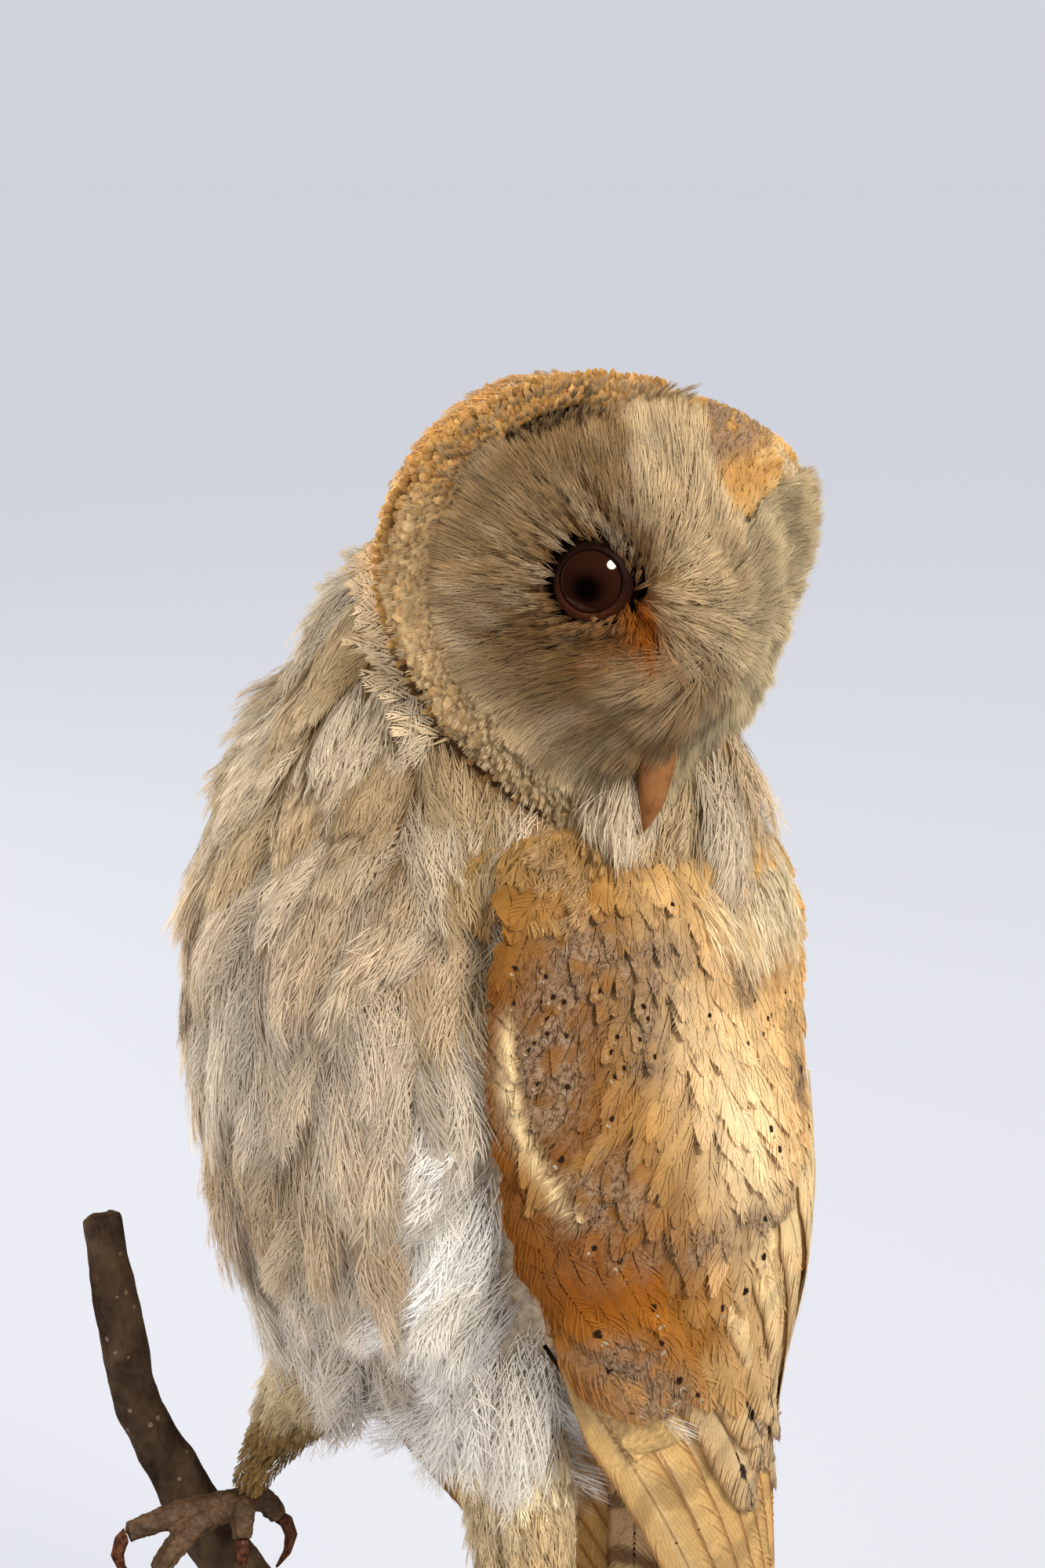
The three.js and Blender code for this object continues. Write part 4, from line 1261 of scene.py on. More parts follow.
# ---------------------------------------------------------------- body, neck and crown
def body_flow(p, normal):
    """The way the coat lies on the trunk and neck: down, with a sweep and a gentle waviness."""
    sweep = 0.30 * step(215, 280, p[:, 2]) + 0.08
    sweep = sweep * step(20, -10, p[:, 1])
    flow = np.stack([-0.75 * sweep, -0.45 * sweep, -np.ones(len(p))], -1)
    sway = np.stack([wave(p, 40, 9), wave(p, 40, 10), wave(p, 40, 11) * 0.2], -1) * 0.42
    flow = flow + sway
    return unit(flow - normal * dot(flow, normal))


def lay(surface, places, normals, heading, length, lift, depth, free=0.0):
    """(root, tip, tip normals) of feathers that follow the surface, or hang straight where free is 1."""
    length, lift, free = (np.asarray(v, float).reshape(-1, 1) for v in (length, lift, free))
    straight = places + heading * length
    tip, tip_normal = surface.nearest(straight)
    tip = mix(tip + tip_normal * lift, straight, free)
    return places - normals * depth, tip, unit(mix(tip_normal, normals, free * 0.7))


COAT_MAP_LOW, COAT_MAP_HIGH = 110, 370
NAPE_WAY = np.array([0.7, 0.7, 0.0])


def coat_unwrap(p):
    """Places on the map of the trunk's coat, unrolled round the upright axis."""
    turn = np.arctan2(p[:, 0], -p[:, 1]) / (2 * np.pi) + 0.5
    up = (p[:, 2] - COAT_MAP_LOW) / (COAT_MAP_HIGH - COAT_MAP_LOW)
    return np.stack([0.01 + 0.98 * turn, 0.01 + 0.98 * up], -1)


def in_locks(places, heading, spacing, pull, reach, seed):
    """Turns each heading towards the end of its lock.

    Returns (heading, lock, nearness to the lock's middle, way out from the lock's middle line).
    """
    leaders, lock, far = split_places(places, spacing, seed)
    goal = places[leaders] + heading[leaders] * reach
    toward = unit(goal[lock] - places)
    heading = unit(mix(heading, toward, pull))
    out = (places - places[leaders[lock]]) / spacing
    return heading, lock, 1 - np.minimum(far / (spacing * 0.62), 1), out - heading * dot(out, heading)


def on_mantle(p, normal):
    """True on the back between the wings, which has closed feathers."""
    return (p[:, 1] > 6) & (normal[:, 1] > 0.25) & (p[:, 2] < 283) & (p[:, 2] > 135)


def make_mantle(flesh, material):
    """The closed golden feathers of the back."""
    places, normals = flesh.scatter(4.3, on_mantle, seed=85)
    node = nearest_node(places, FLESH)
    places, normals = places[node <= ON_TRUNK], normals[node <= ON_TRUNK]
    random = np.random.default_rng(86)
    count = len(places)
    heading = np.tile([0.0, 0.0, -1.0], (count, 1)) + random.normal(0, 0.07, (count, 3))
    heading = unit(heading - normals * dot(heading, normals))
    length = random.uniform(15, 19, count)
    root, tip, tip_normal = lay(flesh, places, normals, heading, length, random.uniform(0.2, 1.4, count), 2.2)
    spines = Spines(root, tip, normals, tip_normal, heading, 0.08)
    outline = lobe(3.6, 0.3)
    made = together(
        vaned(spines, length * 0.25, outline, rows=8, columns=7, cup=0.3, ragged=0.10, seed=87, wavy=0.02),
        barbed(
            spines, length * 0.30, outline, barbs=14, reach=0.4, blade=0.15, tilt=0.1, mess=0.16, seed=88,
            cup=0.3,
        ),
    )
    owner = made["owner"]
    veil = step(-0.2, 0.7, wave(places, 18, 5))
    pale = step(0.0, 0.8, wave(places, 24, 6))
    tint = shade_of("c8984e", (PALE_GOLD, 0.6 * pale), ("a08a6c", 0.5 * veil))
    colour = toned(tint[owner], made, rooted=0.6, tip_pale=0.14, uneven=0.07, seed=89)
    spot = random.random(count) < 0.45
    coat_piece(
        "mantle", made, colour, coat_unwrap(places), material, spot=spot[owner],
        pepper=(0.8 * veil)[owner] * step(0.3, 0.7, made["vane"][:, 1]),
    )


def coat_places(flesh):
    """Where the soft coat grows: (places, normals, True on the capes over the wings' shoulders)."""

    def keep(p, n):
        q = to_head(p)
        share, _ = disc_share(q[:, 0], q[:, 2])
        return ~((q[:, 1] < 8) & (share < 0.97) & (q[:, 1] > -45) & (p[:, 2] > 314))

    places, normals = flesh.scatter(1.62, keep, seed=60)
    node = nearest_node(places, FLESH)
    q = to_head(places)
    share, _ = disc_share(q[:, 0], q[:, 2])
    on_front = (np.abs(q[:, 1] - face_surface(q[:, 0], q[:, 2])[:, 1]) < 3.0) & (share < 1.0)
    on_crown = q[:, 1] > -rim_front(q[:, 2]) - 1.5
    x, y, z = places.T
    chin = (node == ON_HEAD) & (z < 312) & ~on_front & ~on_crown
    body = (node != ON_HEAD) & (node <= ON_TRUNK) | chin
    # the far wing's leading edge is under the breast's coat, and both shoulders are under the cape
    row = wing_shape(z)
    edge = (node == ON_WINGS[1]) & (np.hypot(-x - row[:, 0], y - row[:, 1]) < 15) & (z > 196)
    cape = np.isin(node, ON_WINGS) & (z > 289 - 16 * step(0, 24, y)) & (np.abs(x) > 12)
    # nothing grows under the wings
    under = (np.abs(x) > 30) & (y > -24) & (z < 285) & (np.abs(normals[:, 0]) > 0.6)
    low_under = (np.abs(x) > 22) & (y > -14) & (z < 190)
    chosen = (body & ~under & ~low_under & ~on_mantle(places, normals)) | edge | cape
    return places[chosen], normals[chosen], cape[chosen]


def coat_tint(places, normals, cape, loose, middle, lock, random):
    """The colour of each of the coat's feathers, with lighter and darker locks where the coat is loose, each
    painted lighter at its middle as if lit as a round form.
    """
    x, y, z = places.T
    tint = body_colour(places, normals)
    cream = step(284, 296, z + 16 * step(-5, 30, y)) * step(-6, 10, y)
    tint = mix(tint, mix(wing_colour(places), srgb("ecdcb8"), cream[:, None]), cape[:, None])
    locks = lock.max() + 1
    shade = random.random(locks)[lock]
    tint = shade_of(
        tint,
        ("ded3be", 0.45 * step(0.68, 0.9, shade) * loose),
        ("b8985c", 0.30 * step(0.28, 0.1, shade) * loose),
        ("b59d7e", 0.30 * step(0.35, 0.5, shade) * step(0.65, 0.5, shade) * loose),
    )
    # painted light and shade: each lock lighter towards its middle and darker at its edges
    return tint * (1 + random.normal(0, 0.04, locks))[lock][:, None] * (0.90 + 0.16 * middle)[:, None]


COAT_BANDS = [  # each piece and the heights between which its feathers are rooted
    ("coat_neck", 304, np.inf),
    ("coat_shoulders", 284, 304),
    ("coat_breast_high", 252, 284),
    ("coat_breast_low", 216, 252),
    ("coat_belly", 192, 216),
    ("coat_low", -np.inf, 192),
]


def make_body(flesh, material):
    """The soft coat of the trunk, the neck and the wings' shoulders."""
    places, normals, cape = coat_places(flesh)
    random = np.random.default_rng(61)
    x, y, z = places.T
    count = len(places)
    neck, back = step(284, 306, z), step(0, 30, y)
    calm = np.clip(back * (1 - neck) + 0.7 * cape, 0, 1)
    heading = body_flow(places, normals)
    pulled, lock, middle, out = in_locks(places, heading, spacing=10.5, pull=0.65, reach=34.0, seed=62)
    out = out * (1.1 * (1 - calm))[:, None]  # a lock is shaded as one round form
    heading = unit(mix(pulled, heading, 0.7 * calm[:, None]) + random.normal(0, 0.05, heading.shape))
    length = mix(29.0, 18.0, neck) * mix(1, 0.75, back) * random.uniform(0.75, 1.15, count)
    nape = neck * step(0, 14, x * 0.35 + y)
    low_cape = cape * step(8, -6, y)  # over the front of the wing the feathers are short and close
    length = mix(length * mix(1, 1.3, nape), length * mix(0.85, 0.5, low_cape), cape)
    tuft = step(206, 188, z) * step(-18, -30, y) * step(-20, -8, x)
    length = length + 9 * tuft
    lift = random.uniform(-0.9, 0.6, count) + (3.2 * middle + 2.2 * wave(places, 25, 5)) * (1 - calm)
    # the nape stands full at the back; by the ruff the neck lies close
    full = step(0.1, 0.7, normals @ NAPE_WAY) * step(270, 290, z)
    q = to_head(places)
    share, _ = disc_share(q[:, 0], q[:, 2])
    close = step(1.30, 1.05, share) * step(20, 5, q[:, 1]) * step(290, 300, z)
    lift = np.maximum(lift, -0.8) + 0.8 * neck + full * random.uniform(-0.5, 2.0, count)
    lift = mix(lift, np.minimum(lift, 0.3), close * (1 - full)) + mix(2.2, 0.9, low_cape) * cape
    length = length * mix(1, 1.2, full)
    depth = mix(2.6, 0.7, cape)[:, None]
    root, tip, tip_normal = lay(flesh, places, normals, heading, length, lift, depth, 0.75 * tuft)
    lock_bend = random.normal(0, 1.8, lock.max() + 1)[lock] + random.normal(0, 0.35, count)
    bend = np.cross(heading, normals) * (wave(places, 28, 1) * 3.2 + lock_bend)[:, None]
    tint = coat_tint(places, normals, cape, 1 - calm, middle, lock, random)
    for k, (name, low, high) in enumerate(COAT_BANDS):
        part = (z > low) & (z <= high)
        facing = unit(normals[part] + out[part]), unit(tip_normal[part] + out[part])
        spines = Spines(root[part], tip[part], *facing, heading[part], 0.08, bend[part])
        made = barbed(
            spines, length[part] * 0.125, lobe(6.0, 0.40), barbs=13, reach=0.62, blade=0.095, tilt=0.3,
            mess=0.38, seed=64 + k, cup=0.30, shaft=0.04, last=0.90, round_off=0.2,
        )
        owner = made["owner"]
        colour = toned(tint[part][owner], made, rooted=0.32, tip_pale=0.10, uneven=0.03, seed=70 + k)
        dots = (random.random(part.sum()) < 0.014) & (y[part] < 0) & (z[part] < 285)
        coat_piece(
            name, made, colour, coat_unwrap(places[part]), material,
            spot=(0.8 * dots)[owner] * (np.abs(made["vane"][:, 0]) < 0.5),
            pepper=(0.45 * (calm * ~cape)[part])[owner],
        )


def make_crown(flesh, material):
    """The short feathers of the crown, nape and cheeks."""

    def keep(p, n):
        q = to_head(p)
        share, _ = disc_share(q[:, 0], q[:, 2])
        behind = q[:, 1] > -rim_front(q[:, 2]) - 1.5
        return behind & (p[:, 2] > 290) & (share < 1.15)

    places, normals = flesh.scatter(1.9, keep, seed=80)
    node = nearest_node(places, FLESH)
    places, normals = places[node == ON_HEAD], normals[node == ON_HEAD]
    q = to_head(places)
    q_x, q_y, q_z = q.T
    qn = normals @ HEAD[:3, :3]
    random = np.random.default_rng(81)
    count = len(places)
    flow = np.stack([0 * q_x, np.ones(count), -0.35 - 0.6 * step(5, 35, q_y)], -1)
    flow = flow + flat(wave(q, 25, 2), wave(q, 25, 3)) * 0.15
    heading = unit(flow - qn * dot(flow, qn)) @ HEAD_TO_WORLD
    soft = step(8, -14, q_z)
    length = random.uniform(7.0, 10.0, count) * mix(1, 1.5, soft)
    full = step(0.2, 0.8, normals @ NAPE_WAY) * soft
    lift = random.uniform(0.0, 0.8, count) + soft * random.uniform(0.5, 2.5, count)
    lift = lift + full * random.uniform(0, 6.0, count)
    root, tip, tip_normal = lay(flesh, places, normals, heading, length, lift, 1.4)
    spines = Spines(root, tip, normals, tip_normal, heading, 0.10)
    half = length * mix(0.26, 0.2, soft)
    made = barbed(spines, half, lobe(4.0, 0.3), barbs=10, reach=0.5, blade=0.16, tilt=0.3, mess=0.18, seed=82)
    owner = made["owner"]
    colour = toned(crown_colour(q)[owner], made, rooted=0.8, tip_pale=0.12, uneven=0.07, seed=83)
    pepper = 0.75 * step(0.0, 0.7, wave(q, 14, 5)) * step(-5, 8, q_z)
    turn = np.arctan2(q_x, q_z) / (2 * np.pi) + 0.5
    unwrap = np.stack([0.01 + 0.98 * turn, 0.05 + (q_y + 35) / 80 * 0.9], -1)
    coat_piece("coat_crown", made, colour, unwrap, material, pepper=pepper[owner])


# ---------------------------------------------------------------- legs
def leg_colour(p, name):
    """The legs' down, browner lower down."""
    if name == "leg_right":
        return shade_of("dcc8a0", ("8c6c3a", 0.95 * step(180, 164, p[:, 2])))
    streak = step(0.0, 0.9, wave(p, 18, 2))
    lower = step(178, 150, p[:, 2])
    gold = "c9aa6c", 0.35 * streak + 0.30 * lower
    return shade_of("fbe8c2", gold, ("bfa67c", 0.6 * lower))


LEG_TOP = 208
LEG_MAP_LOW, LEG_MAP_HEIGHT = 90, 120


def leg_down_right(z, random):
    """The lifted leg's down, short on the shank: (way, length, lift, depth, lift of a lock's middle)."""
    thin = step(180, 158, z)
    length = mix(14.0, 4.2, thin) * random.uniform(0.75, 1.1, len(z))
    lift = mix(1.5, 0.8, thin) * random.uniform(0.3, 1, len(z))
    way = unit(np.array([-14.0, -17.0, -42.0]))
    return way, length, lift, mix(2.0, 1.0, thin)[:, None], mix(1.6, 0.4, step(172, 150, z))


def leg_down_left(z, random):
    """The same for the straight leg, which is fluffy down to the toes."""
    length = mix(14.0, 10.0, step(150, 105, z)) * random.uniform(0.75, 1.15, len(z))
    return np.array([0.03, 0.0, -1.0]), length, random.uniform(0.5, 2.2, len(z)), 2.0, 1.6 + 0 * z


def make_legs(flesh, material):
    for name, lowest, spacing, seed, down_of in (
        ("leg_right", 140, 1.15, 90, leg_down_right),
        ("leg_left", 96, 1.35, 91, leg_down_left),
    ):
        places, normals = flesh.scatter(spacing, lambda p, n: (p[:, 2] < LEG_TOP) & (p[:, 2] > lowest), seed)
        on_leg = nearest_node(places, FLESH) == FLESH.index(name)
        places, normals = places[on_leg], normals[on_leg]
        random = np.random.default_rng(seed)
        down, length, lift, depth, middle_lift = down_of(places[:, 2], random)
        sway = np.stack([wave(places, 22, 4), wave(places, 22, 5), 0 * length], -1) * 0.22
        heading = np.broadcast_to(down, places.shape) + sway
        heading = unit(heading - normals * dot(heading, normals))
        heading, lock, middle, out = in_locks(places, heading, spacing=5.5, pull=0.4, reach=15.0, seed=seed)
        heading = unit(heading + random.normal(0, 0.08, heading.shape))
        lift = lift + middle * middle_lift
        root, tip, tip_normal = lay(flesh, places, normals, heading, length, lift, depth)
        spines = Spines(root, tip, unit(normals + out), unit(tip_normal + out), heading, 0.1)
        made = barbed(
            spines, length * 0.2, lobe(3.0, 0.45), barbs=9, reach=0.6, blade=0.095, tilt=0.4, mess=0.3,
            seed=seed, shaft=0.06, round_off=0.25,
        )
        tint = leg_colour(places, name) * (1 + random.normal(0, 0.06, lock.max() + 1))[lock][:, None]
        colour = toned(tint[made["owner"]], made, rooted=0.7, tip_pale=0.14, uneven=0.07, seed=seed)
        turn = np.arctan2(normals[:, 0], -normals[:, 1]) / MAP_TURN + 0.5
        unwrap = np.stack([turn, 0.02 + (places[:, 2] - LEG_MAP_LOW) / LEG_MAP_HEIGHT * 0.96], -1)
        coat_piece("coat_" + name, made, colour, unwrap, material)


# ---------------------------------------------------------------- wings
def wing_share(p):
    """How far a place is from the leading to the trailing edge."""
    row = wing_shape(p[:, 2])
    return (p[:, 1] - row[:, 1]) / (row[:, 3] - row[:, 1])


def wing_colour(p):
    """The wing's ground colour by place, the same on both wings."""
    p = np.stack([np.abs(p[:, 0]), p[:, 1], p[:, 2]], -1)
    z, t = p[:, 2], wing_share(p)
    cloud = step(-0.3, 0.9, wave(p, 30, 6))
    pale = step(-0.2, 0.9, wave(p * [1, 1, 0.5], 26, 7))
    right = step(0.36, 0.60, t)
    # darker, deeper orange towards the leading edge: partly the wing's own colour, partly painted shade
    # beside the breast
    front = step(0.32, 0.16, t)
    deep = step(234, 222, z) * step(0.30, 0.18, t) * step(186, 194, z)
    top = step(272, 290, z + 14 * step(0.5, 0.9, t))
    return shade_of(
        mix(srgb("a8722c"), srgb("dcb478"), right[:, None]),
        ("8c5a1c", 0.55 * cloud * (1 - right)),
        ("7d4c0e", 0.75 * front),
        ("e2c490", 0.45 * pale * (0.35 + right) * (1 - front)),
        ("f0dcb0", 0.65 * bump_at(t, z, 0.38, 268, 0.10, 20)),
        ("eac88e", 0.6 * step(224, 206, z) * step(0.3, 0.5, t)),
        ("deb878", 0.85 * step(193, 187, z) * step(0.5, 0.35, t)),
        ("f0dcb0", 0.85 * bump_at(t, z, 0.50, 238, 0.13, 24)),
        ("8f5816", 0.85 * deep),
        ("c9a566", 0.5 * top),
    )


GREY_PATCHES = [  # (t, z, half width, half height)
    (0.17, 276, 0.08, 7), (0.34, 271, 0.10, 8), (0.10, 262, 0.08, 9), (0.07, 251, 0.07, 7),
    (0.15, 231, 0.09, 8), (0.30, 256, 0.05, 7), (0.09, 196, 0.08, 5), (0.62, 262, 0.05, 5),
    (0.42, 216, 0.25, 4), (0.75, 236, 0.04, 6), (0.14, 183, 0.09, 8),
]


def grey_patches(t, z):
    """1 on the wing's peppered grey patches."""
    return np.clip(sum(1.2 * bump_at(t, z, *patch) for patch in GREY_PATCHES), 0, 1)


PALE_LINE_LOW, PALE_LINE_HIGH = 226, 268


def pale_edge(t, z):
    """1 on the pale line that curves from the leading edge in over the wing, and 1 on the shade behind it."""
    fallen = np.clip((PALE_LINE_HIGH - z) / (PALE_LINE_HIGH - PALE_LINE_LOW), 0, 1)
    behind = t - (0.014 + 0.086 * fallen**3)
    ends = step(271, 262, z) * step(223, 229, z)
    shade = ends * step(0.012, 0.02, behind) * step(0.05, 0.02, behind)
    return ends * np.exp(-((behind / 0.014) ** 2)), shade


def mirror(v, side):
    return v * np.array([side, 1.0, 1.0])


def wing_way(t, z, lean, length):
    """(place, normal, heading, tip's t, tip's z). Headings are down the wing, turned back by lean degrees."""
    p, n = wing_frame(t, z)
    across = wing_frame(t + 0.01, z)[0] - wing_frame(t - 0.01, z)[0]
    down = -unit(wing_frame(t, z + 1.5)[0] - wing_frame(t, z - 1.5)[0])
    per_t = np.linalg.norm(across, axis=-1) / 0.02
    across = unit(across)
    down = unit(down - across * dot(down, across))
    sine, cosine = np.sin(np.radians(lean)), np.cos(np.radians(lean))
    heading = down * cosine[:, None] + across * sine[:, None]
    return p, n, heading, t + sine * length / np.maximum(per_t, 20), z + cosine * length * down[:, 2]


def wing_feathers(
    name, side, t, z, lean, length, half, lift, tint, spot, material, depth, pointed, seed, own=0.45,
):
    """Soft feathers over one wing: closed vanes under loose barbs.

    own is how far a feather keeps its own tint.
    """
    random = np.random.default_rng(seed)
    edge = 0.0050 * half  # feathers keep inside the leading edge
    p, n, heading, tip_t, tip_z = wing_way(np.maximum(t, edge), z, lean, length)
    tip, tip_normal = wing_frame(np.clip(tip_t, edge, 1.06), np.maximum(tip_z, 34))
    root = p - n * depth
    tip = tip + tip_normal * lift[:, None]
    bend = np.cross(heading, n) * random.normal(0, 0.05, len(t))[:, None] * length[:, None]
    spines = Spines(*(mirror(v, side) for v in (root, tip, n, tip_normal, heading)), 0.07, mirror(bend, side))
    outline = lobe(pointed, 0.30)
    loose = barbed(
        spines, half, outline, barbs=20, reach=0.40, blade=length * 0.0085, tilt=0.10, mess=0.14,
        seed=seed + 1, cup=0.32, start=0.05, last=0.95, round_off=0.35,
    )
    made = together(
        vaned(spines, half * 0.80, outline, rows=8, columns=7, cup=0.32, ragged=0.10, seed=seed, wavy=0.02),
        raised(loose, 0.10),
    )
    owner = made["owner"]
    where = mirror(made["points"], side)
    share, height = wing_share(where), where[:, 2]
    patch = grey_patches(share, height)
    pale, shade = pale_edge(share, height)
    colour = shade_of(mix(wing_colour(where), tint[owner], own), ("9c7d58", 0.55 * patch))
    # painted shade, darker and warmer, over the wing's front part beside the breast
    colour = shaded(colour, [0.74, 0.62, 0.42], step(0.42, 0.22, share) * step(200, 212, height))
    colour = shade_of(colour, ("4a2e10", 0.55 * shade), ("e4cc9c", 0.9 * pale))
    colour = toned(colour, made, rooted=0.5, tip_pale=0.16, uneven=0.06, seed=seed + 2, reach=0.6)
    count = len(t)
    grid = int(math.ceil(math.sqrt(count)))
    cell = (np.stack([np.arange(count) % grid, np.arange(count) // grid], -1) + 0.5) / grid
    coat_piece(
        name, made, colour, cell, material, spot=spot[owner] * (1 - pale),
        pepper=0.85 * patch * (1 - pale), patch=(0.40 / grid, 0.46 / grid),
    )


COVERT_BANDS = [  # from height, to height, between rows, between feathers, length, width share, from t, to t
    (203, 196, 6.0, 7.0, 30.0, 0.20, 0.24, 1.02),
    (226, 205, 6.5, 7.0, 25.0, 0.22, 0.05, 1.02),
    (258, 228, 4.8, 5.8, 19.0, 0.25, 0.0, 1.02),
    (288, 259, 4.0, 4.8, 13.5, 0.30, 0.0, 1.02),
]


def wing_rows(random):
    """The coverts' places in rows over the wing: (t, z, length, half width)."""
    out = []
    for high, low, rows_apart, apart, long, wide, t0, t1 in COVERT_BANDS:
        for row, z in enumerate(np.arange(high, low, -rows_apart)):
            shape = wing_shape(np.array([z]))[0]
            chord = math.hypot(shape[2] - shape[0], shape[3] - shape[1]) * 1.2 * (t1 - t0)
            count = max(int(chord / apart), 2)
            t = mix(t0, t1, (np.arange(count) + 0.25 + 0.5 * (row % 2)) / count)
            out.append(np.stack(np.broadcast_arrays(t, z, long, long * wide), -1))
    t, z, length, half = np.concatenate(out).T
    count = len(t)
    t = t + random.normal(0, 0.008, count)
    z = z + random.normal(0, 0.9, count)
    return t, z, length * random.uniform(0.88, 1.12, count), half * random.uniform(0.9, 1.1, count)


def make_coverts(material):
    """Overlapping rows of feathers over the arm of each wing, from the small ones at the top down."""
    for side, word in SIDES:
        random = np.random.default_rng(100)
        t, z, length, half = wing_rows(random)
        if side < 0:  # the far wing's leading edge is under the breast's coat
            good = t > mix(0.10, 0.16, step(200, 230, z))
            t, z, length, half = t[good], z[good], length[good], half[good]
        count = len(t)
        swept = step(0.62, 0.30, t) * step(212, 232, z)
        lean = mix(4, -46, swept) * mix(1, 0.55, step(276, 292, z)) + random.normal(0, 7, count)
        lean = lean * step(-0.06, 0.10, t) + 12 * step(0.05, -0.02, t) * step(245, 225, z)
        p = wing_frame(t, z)[0]
        lift = 0.7 + random.uniform(0, 0.7, count) + 0.8 * wave(p, 24, 8)
        tint = wing_colour(p) * (1 + random.normal(0, 0.08, (count, 1)))
        pointed = (bump_at(t, z, 0.15, 248, 0.10, 7) + bump_at(t, z, 0.34, 248, 0.12, 9)) > 0.55
        pointed &= random.random(count) < 0.6
        tint = shade_of(tint, ("e6c98c", 0.7 * pointed))
        row_of_spots = np.exp(-(((z - 214) / 5) ** 2)) * (t > 0.1)
        chance = np.maximum(0.10, np.maximum(0.75 * grey_patches(t, z), 0.8 * row_of_spots))
        spot = (random.random(count) < chance) * (1.0 - pointed)
        wing_feathers(
            f"coverts_{word}", side, t, z, lean, length * (1 + 0.25 * pointed), half * (1 - 0.25 * pointed),
            lift + 0.9 * pointed, tint, spot, material, depth=0.9, pointed=3.4, seed=104,
        )


BEND_LAYERS, BEND_ACROSS = 4, 6


def make_bend(material):
    """The orange feathers under the wing's bend."""
    count = BEND_LAYERS * BEND_ACROSS
    k = np.arange(count)
    layer = k // BEND_ACROSS
    place = (k % BEND_ACROSS + 0.5 * (layer % 2)) / BEND_ACROSS
    for side, word in SIDES:
        random = np.random.default_rng(140)
        t = mix(0.01, 0.22, place) + random.normal(0, 0.006, count)
        z = 203 + layer * 7.5 - 12 * (place - 0.3) ** 2 + random.normal(0, 1.0, count)
        length = 25.0 * random.uniform(0.9, 1.1, count) - 14 * (place - 0.35) ** 2
        lean = mix(20, -8, place) + random.normal(0, 4, count)
        tint = shade_of(np.tile(srgb("9a5a10"), (count, 1)), ("bb8030", random.uniform(0, 0.6, count)))
        spot = ((layer == 0) | (random.random(count) < 0.2)) * 1.0
        wing_feathers(
            f"bend_{word}", side, t, z, lean, length, length * 0.24, 1.9 + 0.4 * layer, tint, spot, material,
            depth=0.6, pointed=4.0, seed=141, own=0.8,
        )


def long_feathers(name, side, fan, half, tint, marks, material, node, seed, surface=wing_frame):
    """Flight feathers along a surface.

    fan is (root t, z and lift, tip t, z and lift) per feather, and marks (spot, pepper, bars) for them all.
    """

    def at(t, z, lift):
        place, normal = surface(t, z)
        return place + normal * lift[:, None], normal

    def part_way(share):
        return at(*(mix(here, there, share) for here, there in zip(fan[:3], fan[3:])))[0]

    (root, root_n), (tip, tip_n) = at(*fan[:3]), at(*fan[3:])
    a, b = part_way(1 / 3), part_way(2 / 3)
    spines = Spines(*(mirror(v, side) for v in (root, tip, root_n, tip_n, unit(a - root))), 0.0)
    # the cubic through the four places
    first = (-5 * root + 18 * a - 9 * b + 2 * tip) / 6
    second = (2 * root - 9 * a + 18 * b - 5 * tip) / 6
    spines.control = np.stack([mirror(v, side) for v in (root, first, second, tip)], 1)
    outline = lobe(11.0, 0.10)
    fringe = barbed(
        spines, half, outline, barbs=56, reach=0.10, blade=0.42, tilt=0.08, mess=0.03, seed=seed + 1,
        cup=0.10, shaft=0.42, start=0.08, last=0.985, round_off=0.2,
    )
    made = together(
        vaned(spines, half * 0.95, outline, rows=30, columns=7, cup=0.10, ragged=0.02, seed=seed, wavy=0.02),
        raised(fringe, 0.05),
    )
    owner, across = made["owner"], np.abs(made["vane"][:, 0])
    # darker towards both edges, partly the vanes' own rims and partly painted shade where the feathers
    # overlap; paler down the middle
    colour = shade_of(
        vary(tint[owner], made, 0.05, seed + 2),
        ("96642c", 0.34 * step(0.62, 1.0, across)),
        ("ecd7a8", 0.30 * step(0.35, 0.0, across)),
    )
    spot, pepper, bars = marks
    peppered = pepper * step(0.82, 0.97, made["vane"][:, 1])  # only the tips
    count = len(half)
    cell = np.stack([(np.arange(count) + 0.5) / count, np.full(count, 0.5)], -1)
    patch = 0.44 / count, 0.49
    piece = coat_piece(name, made, colour, cell, material, spot, peppered, bars, patch)
    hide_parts(node)


PRIMARIES, SECONDARIES, TAIL_FEATHERS = 10, 14, 12


